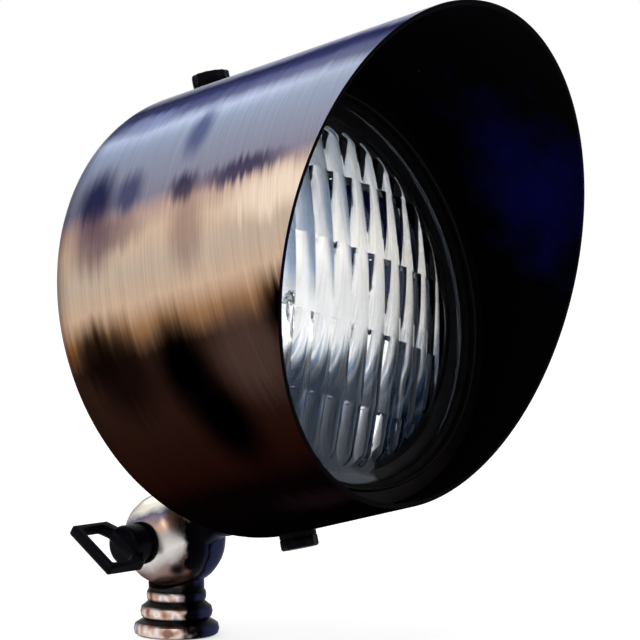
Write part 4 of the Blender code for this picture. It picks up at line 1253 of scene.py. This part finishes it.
@dataclass
class Lens(SubAssembly):
    """Pressed lens of the sealed lamp: rows of upright flutes on a low dome."""

    front: float = 54.3
    radius: float = 57.15
    dome_radius: float = 55.5
    shoulder_radius: float = 53.0
    field_radius: float = 52.5
    rim_edge: float = 0.3
    crown: float = 8.5
    thickness: float = 3.0
    turn: float = 16.0
    columns: int = 294
    columns_per_flute: int = 20
    rows: int = 158
    hollow_steps: int = 10
    flute_height: float = 1.0
    flute_reach: Point = (46.8, 49.2)
    flute_drop: float = 2.4
    end_length: float = 1.8
    end_rounding: float = 2.6
    row_edges: tuple[float, ...] = (-34.1, -12.3, 10.2, 31.7)
    row_height: float = 22.0
    row_step: float = 0.62
    step_length: float = 0.22
    least_spacing: float = 0.6
    line_digits: int = 5
    least_gap: float = 0.02
    least_edge: float = 0.01

    def height(self, x: float, y: float) -> float:
        """Front of the dome at a place across the lens."""
        share = min(math.hypot(x, y) / self.dome_radius, 1.0)
        return self.front + self.crown * (1 - share * share)

    def flute(self, x: float, y: float) -> float:
        """Height of the flutes over the dome: deepest at the top of each row, shallow at its foot.

        Args:
            x: Place across the lens.
            y: Place up the lens.

        Returns:
            The height, in millimetres.
        """
        pitch = 2 * self.field_radius * self.columns_per_flute / self.columns
        across = (x / pitch) % 1.0
        hollow = (2 * across - 1) ** 2
        edges = (self.row_edges[0] - self.row_height, *self.row_edges, self.row_edges[-1] + self.row_height)
        low, high = next((a, b) for a, b in zip(edges, edges[1:]) if y <= b)
        rise = (y - low) / (high - low)
        wide, tall = self.flute_reach
        reach = math.hypot(x * tall / wide, y + self.flute_drop) + self.end_rounding * hollow
        inside = max(0.0, min((tall - reach) / self.end_length, 1.0))
        fade = inside * inside * (3 - 2 * inside)
        return self.flute_height * (1 - hollow) * (1 - self.row_step + self.row_step * rise) * fade

    def row_levels(self) -> list[float]:
        """Lines of the grid: evenly spaced, with a close pair at each row's edge.

        Returns:
            Their heights, from the lowest to the highest.
        """
        levels = [self.field_radius * (2 * line / self.rows - 1) for line in range(self.rows + 1)]
        spacing = 2 * self.field_radius / self.rows
        for edge in self.row_edges:
            levels = [level for level in levels if abs(level - edge) > spacing * self.least_spacing]
            levels += [edge, edge + self.step_length]
        return sorted(levels)

    def build(self) -> None:
        """Press the fluted face from a grid, then draw its edge out and back over the hollow."""
        levels = self.row_levels()
        deselect_all()
        bpy.ops.mesh.primitive_grid_add(x_subdivisions=self.columns, y_subdivisions=len(levels) - 1, size=2)
        lens = bpy.context.object
        lens.name = "fluted_lens"
        lines = sorted({round(vertex.co.y, self.line_digits) for vertex in lens.data.vertices})
        place = dict(zip(lines, levels))
        for vertex in lens.data.vertices:
            x = vertex.co.x * self.field_radius
            half = math.sqrt(max(self.field_radius ** 2 - x * x, 0.0))
            y = max(-half, min(half, place[round(vertex.co.y, self.line_digits)]))
            vertex.co = Vector((x, y, self.height(x, y) + self.flute(x, y))) * MM
        with editing():
            bpy.ops.mesh.remove_doubles(threshold=self.least_gap * MM)
            bpy.ops.mesh.dissolve_degenerate(threshold=self.least_edge * MM)
            self.draw_edge(lens)
        settle(lens, LAMP_PLACE @ Matrix.Rotation(-math.radians(self.turn), 4, "Z"))
        paint(lens, self.finishes["lens"])
        keep(lens, Body.HEAD, Slot.LENS, "lamp_lens")

    def draw_edge(self, lens: Piece) -> None:
        """Extrude the field's edge to the flange, round it and back to the crown inside.

        Args:
            lens: The fluted face, in edit mode.
        """
        select(lens, Pick.EDGES, lambda edge: edge.is_boundary)
        start = (self.height(self.field_radius, 0), self.field_radius)
        back = self.front - self.thickness
        outline = [
            (self.height(self.shoulder_radius, 0), self.shoulder_radius),
            (self.front, self.dome_radius),
            (self.front, self.radius - self.rim_edge),
            (self.front - self.rim_edge, self.radius),
            (back, self.radius),
            (back, self.dome_radius - self.thickness),
        ]
        hollow = self.field_radius - self.thickness
        for step in range(self.hollow_steps):
            radius = hollow * (1 - step / self.hollow_steps)
            outline.append((self.height(radius, 0) - self.thickness, radius))
        for point in outline:
            step_out(start, point)
            start = point
        bpy.ops.mesh.merge(type="CENTER")
        bpy.ops.transform.translate(value=(0, 0, (back + self.crown - start[0]) * MM))
        face_outwards()


@dataclass
class KnobWashers(SubAssembly):
    """The rubber washers under the two knobs, each squeezed to the curve of the cup."""

    inner: float = 2.75
    outer: float = 5.35
    rounding: float = 0.25
    cup_radius: float = 65.02
    knob_start: float = 66.38
    segments: int = 64

    def build(self) -> None:
        """Make the washer above the cup and the one below it."""
        self.squeeze("top", Body.TOP_WASHER, KNOB_PLACE)
        self.squeeze("bottom", Body.BOTTOM_WASHER, Matrix.Rotation(math.pi, 4, "Z") @ KNOB_PLACE)

    def squeeze(self, side: str, body: Body, place: Matrix) -> None:
        """Turn a washer and press its near face to the cup.

        Args:
            side: Which knob it belongs to.
            body: Body that carries it.
            place: The knob's axis in the lamp's frame.
        """
        outline = [
            (self.cup_radius, self.inner),
            (self.cup_radius, self.outer),
            (self.knob_start - self.rounding, self.outer),
            (self.knob_start, self.outer - self.rounding),
            (self.knob_start, self.inner),
        ]
        washer = turned(f"squeezed_washer_{side}", outline, self.segments, closed=True)
        radius = self.cup_radius * MM
        for vertex in washer.data.vertices:
            if vertex.co.z < radius + MERGE_DISTANCE:
                vertex.co.z = math.sqrt(radius ** 2 - vertex.co.x ** 2)
        settle(washer, LAMP_PLACE @ place)
        paint(washer, self.finishes["rubber"])
        keep(washer, body, Slot.RUBBER, f"knob_washer_{side}")


@dataclass
class CarriedNodes(SubAssembly):
    """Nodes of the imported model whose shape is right: copied, merged and edged, or painted."""

    flat_angle: float = math.radians(0.6)
    sharp_angle: float = math.radians(35)
    edged: tuple[tuple[str, Body, Slot, str, float], ...] = (
        ("knuckle_upper", Body.HEAD, Slot.CAST, "cast", 0.18),
        ("knuckle_lower", Body.BASE, Slot.CAST, "cast", 0.18),
        ("thumbscrew_handle", Body.THUMB_SCREW, Slot.MOULDING, "moulding", 0.30),
        ("knob_top", Body.TOP_KNOB, Slot.MOULDING, "moulding", 0.12),
        ("knob_bottom", Body.BOTTOM_KNOB, Slot.MOULDING, "moulding", 0.12),
    )
    painted: tuple[tuple[str, tuple[str, ...]], ...] = (
        ("zinc", (
            "thumbscrew_bolt", "saddle_washer", "stem_lock_nut", "lamp_clamp_ring",
            "knob_stud_top", "knob_stud_bottom", "ring_nut_top", "ring_nut_bottom", "capsule_holder",
            "terminal_screw_left", "terminal_screw_right", "lead_eyelet_left", "lead_eyelet_right",
        )),
        ("rubber", ("lamp_gasket", "stem_gasket")),
        ("cast", ("stem_nipple", "terminal_post_left", "terminal_post_right")),
        ("moulding", ("thumbscrew_washer",)),
        ("capsule", ("lamp_capsule",)),
        ("lead", ("lead_wire_left", "lead_wire_right")),
    )

    def build(self) -> None:
        """Copy and edge the seen castings and mouldings, and paint the other nodes."""
        for node, body, slot, finish, width in self.edged:
            self.edge(node, body, slot, self.finishes[finish], width)
        for finish, nodes in self.painted:
            for node in nodes:
                paint(frame["nodes"][node], self.finishes[finish])
                log.info("%s is painted %s", node, finish)

    def edge(self, node: str, body: Body, slot: Slot, material: Material, width: float) -> None:
        """Merge a copy of a node and round its sharp edges.

        Args:
            node: Name of the node.
            body: Body that carries it.
            slot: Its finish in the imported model.
            material: Its material here.
            width: Width of the rounding.
        """
        source = frame["nodes"][node]
        piece = source.copy()
        piece.data = source.data.copy()
        piece.name = f"{node}_edged"
        piece.parent = None
        piece.matrix_world = Matrix.Identity(4)
        bpy.context.scene.collection.objects.link(piece)
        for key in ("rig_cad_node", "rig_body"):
            if key in piece:
                del piece[key]
        only(piece)
        with editing():
            merge_doubles()
            bpy.ops.mesh.dissolve_limited(angle_limit=self.flat_angle)
        limits = {"segments": BEVEL_SEGMENTS, "limit_method": "ANGLE", "angle_limit": self.sharp_angle}
        apply_modifier(piece, "BEVEL", width=width * MM, use_clamp_overlap=True, **limits)
        paint(piece, material)
        keep(piece, body, slot, node)


# Camera, floor and light


@dataclass
class Studio:
    """Camera at the photograph's angle, pale floor and soft light.

    Places and sizes are in metres here, and the camera's lens and sensor in millimetres.
    """

    azimuth: float = -49.14
    elevation: float = 4.0
    distance: float = 1.02923
    lens: float = 197.14
    sensor: float = 36.0
    aim_right: float = 0.04212
    aim_up: float = 0.09217
    ambient: float = 0.55
    floor_size: float = 8.0
    floor_drop: float = 0.0002
    floor_colour: str = "dcdcdc"
    floor_glow: float = 0.62
    softbox_size: float = 0.9
    softbox_aim: Place = (0, -0.03, 0.09)
    softboxes: tuple[tuple[str, Place, float], ...] = (
        ("key_softbox", (-1.25, -0.45, 1.35), 9.0),
        ("front_softbox", (0.55, -1.60, 0.80), 5.0),
        ("back_softbox", (0.70, 1.30, 1.20), 4.0),
    )

    def build(self) -> None:
        """Set up the whole studio."""
        self.add_camera()
        self.add_world()
        self.add_floor()
        for name, place, power in self.softboxes:
            self.add_softbox(name, place, power)
        bpy.context.scene.view_settings.view_transform = "Standard"

    def add_camera(self) -> None:
        """A level camera that looks at the lamp a little from above."""
        turn, rise = math.radians(self.azimuth), math.radians(self.elevation)
        back = Vector((math.sin(turn) * math.cos(rise), -math.cos(turn) * math.cos(rise), math.sin(rise)))
        right = Vector((math.cos(turn), math.sin(turn), 0))
        up = back.cross(right)
        target = right * self.aim_right + up * self.aim_up
        data = bpy.data.cameras.new("photograph_view")
        data.sensor_width = self.sensor
        data.lens = self.lens
        camera = bpy.data.objects.new("photograph_view", data)
        bpy.context.scene.collection.objects.link(camera)
        place = Matrix((right, up, back)).transposed().to_4x4()
        place.translation = target + back * self.distance
        camera.matrix_world = place
        bpy.context.scene.camera = camera

    def seen_directly(self, net: Net) -> Node:
        """One for rays from the camera, from gloss and through glass, and nought for the rest.

        Args:
            net: Nodes of the world or of the floor.

        Returns:
            The node that carries it.
        """
        path = net.add("LightPath").outputs
        inputs = {0: path["Is Camera Ray"], 1: path["Is Glossy Ray"]}
        either = net.add("Math", inputs, operation="MAXIMUM")
        return net.add("Math", {0: either, 1: path["Is Transmission Ray"]}, operation="MAXIMUM")

    def add_world(self) -> None:
        """A white backdrop with a softer, even light from all round."""
        world = bpy.data.worlds.new("white_studio")
        bpy.context.scene.world = world
        net = Net(world)
        light = net.add("Background", {"Color": grey(1.0), "Strength": self.ambient})
        backdrop = net.add("Background", {"Color": grey(1.0), "Strength": 1.0})
        mixed = net.add("MixShader", {0: self.seen_directly(net), 1: light, 2: backdrop})
        net.add("OutputWorld", {"Surface": mixed})

    def add_floor(self) -> None:
        """A pale floor that keeps the shadow and turns white away from it."""
        deselect_all()
        bpy.ops.mesh.primitive_plane_add(size=self.floor_size, location=(0, 0, -self.floor_drop))
        floor = bpy.context.object
        floor.name = "studio_floor"
        material = bpy.data.materials.new("matt_pale_floor")
        net = Net(material)
        matt = net.add("BsdfDiffuse", {"Color": linear(self.floor_colour)})
        inputs = {0: self.seen_directly(net), 1: self.floor_glow}
        strength = net.add("Math", inputs, operation="MULTIPLY")
        glow = net.add("Emission", {"Color": grey(1.0), "Strength": strength})
        both = net.add("AddShader", {0: matt, 1: glow})
        net.add("OutputMaterial", {"Surface": both})
        paint(floor, material)

    def add_softbox(self, name: str, place: Place, power: float) -> None:
        """A soft square light aimed at the lamp.

        Args:
            name: Name of the light.
            place: Where it stands.
            power: Its power, in watts.
        """
        data = bpy.data.lights.new(name, "AREA")
        data.shape = "SQUARE"
        data.size = self.softbox_size
        data.energy = power
        light = bpy.data.objects.new(name, data)
        bpy.context.scene.collection.objects.link(light)
        light.location = place
        aim = Vector(self.softbox_aim) - Vector(place)
        light.rotation_euler = aim.to_track_quat("-Z", "Y").to_euler()


def main() -> None:
    """Build the spotlight's looks, its studio and its camera."""
    logging.basicConfig(level=logging.INFO, format="%(message)s")
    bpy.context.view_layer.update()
    Studio().build()
    finishes = make_finishes()
    for assembly in (Housing, FrontRing, Reflector, Lens, KnobWashers, CarriedNodes):
        assembly(finishes).build()


if __name__ == "__main__":
    main()
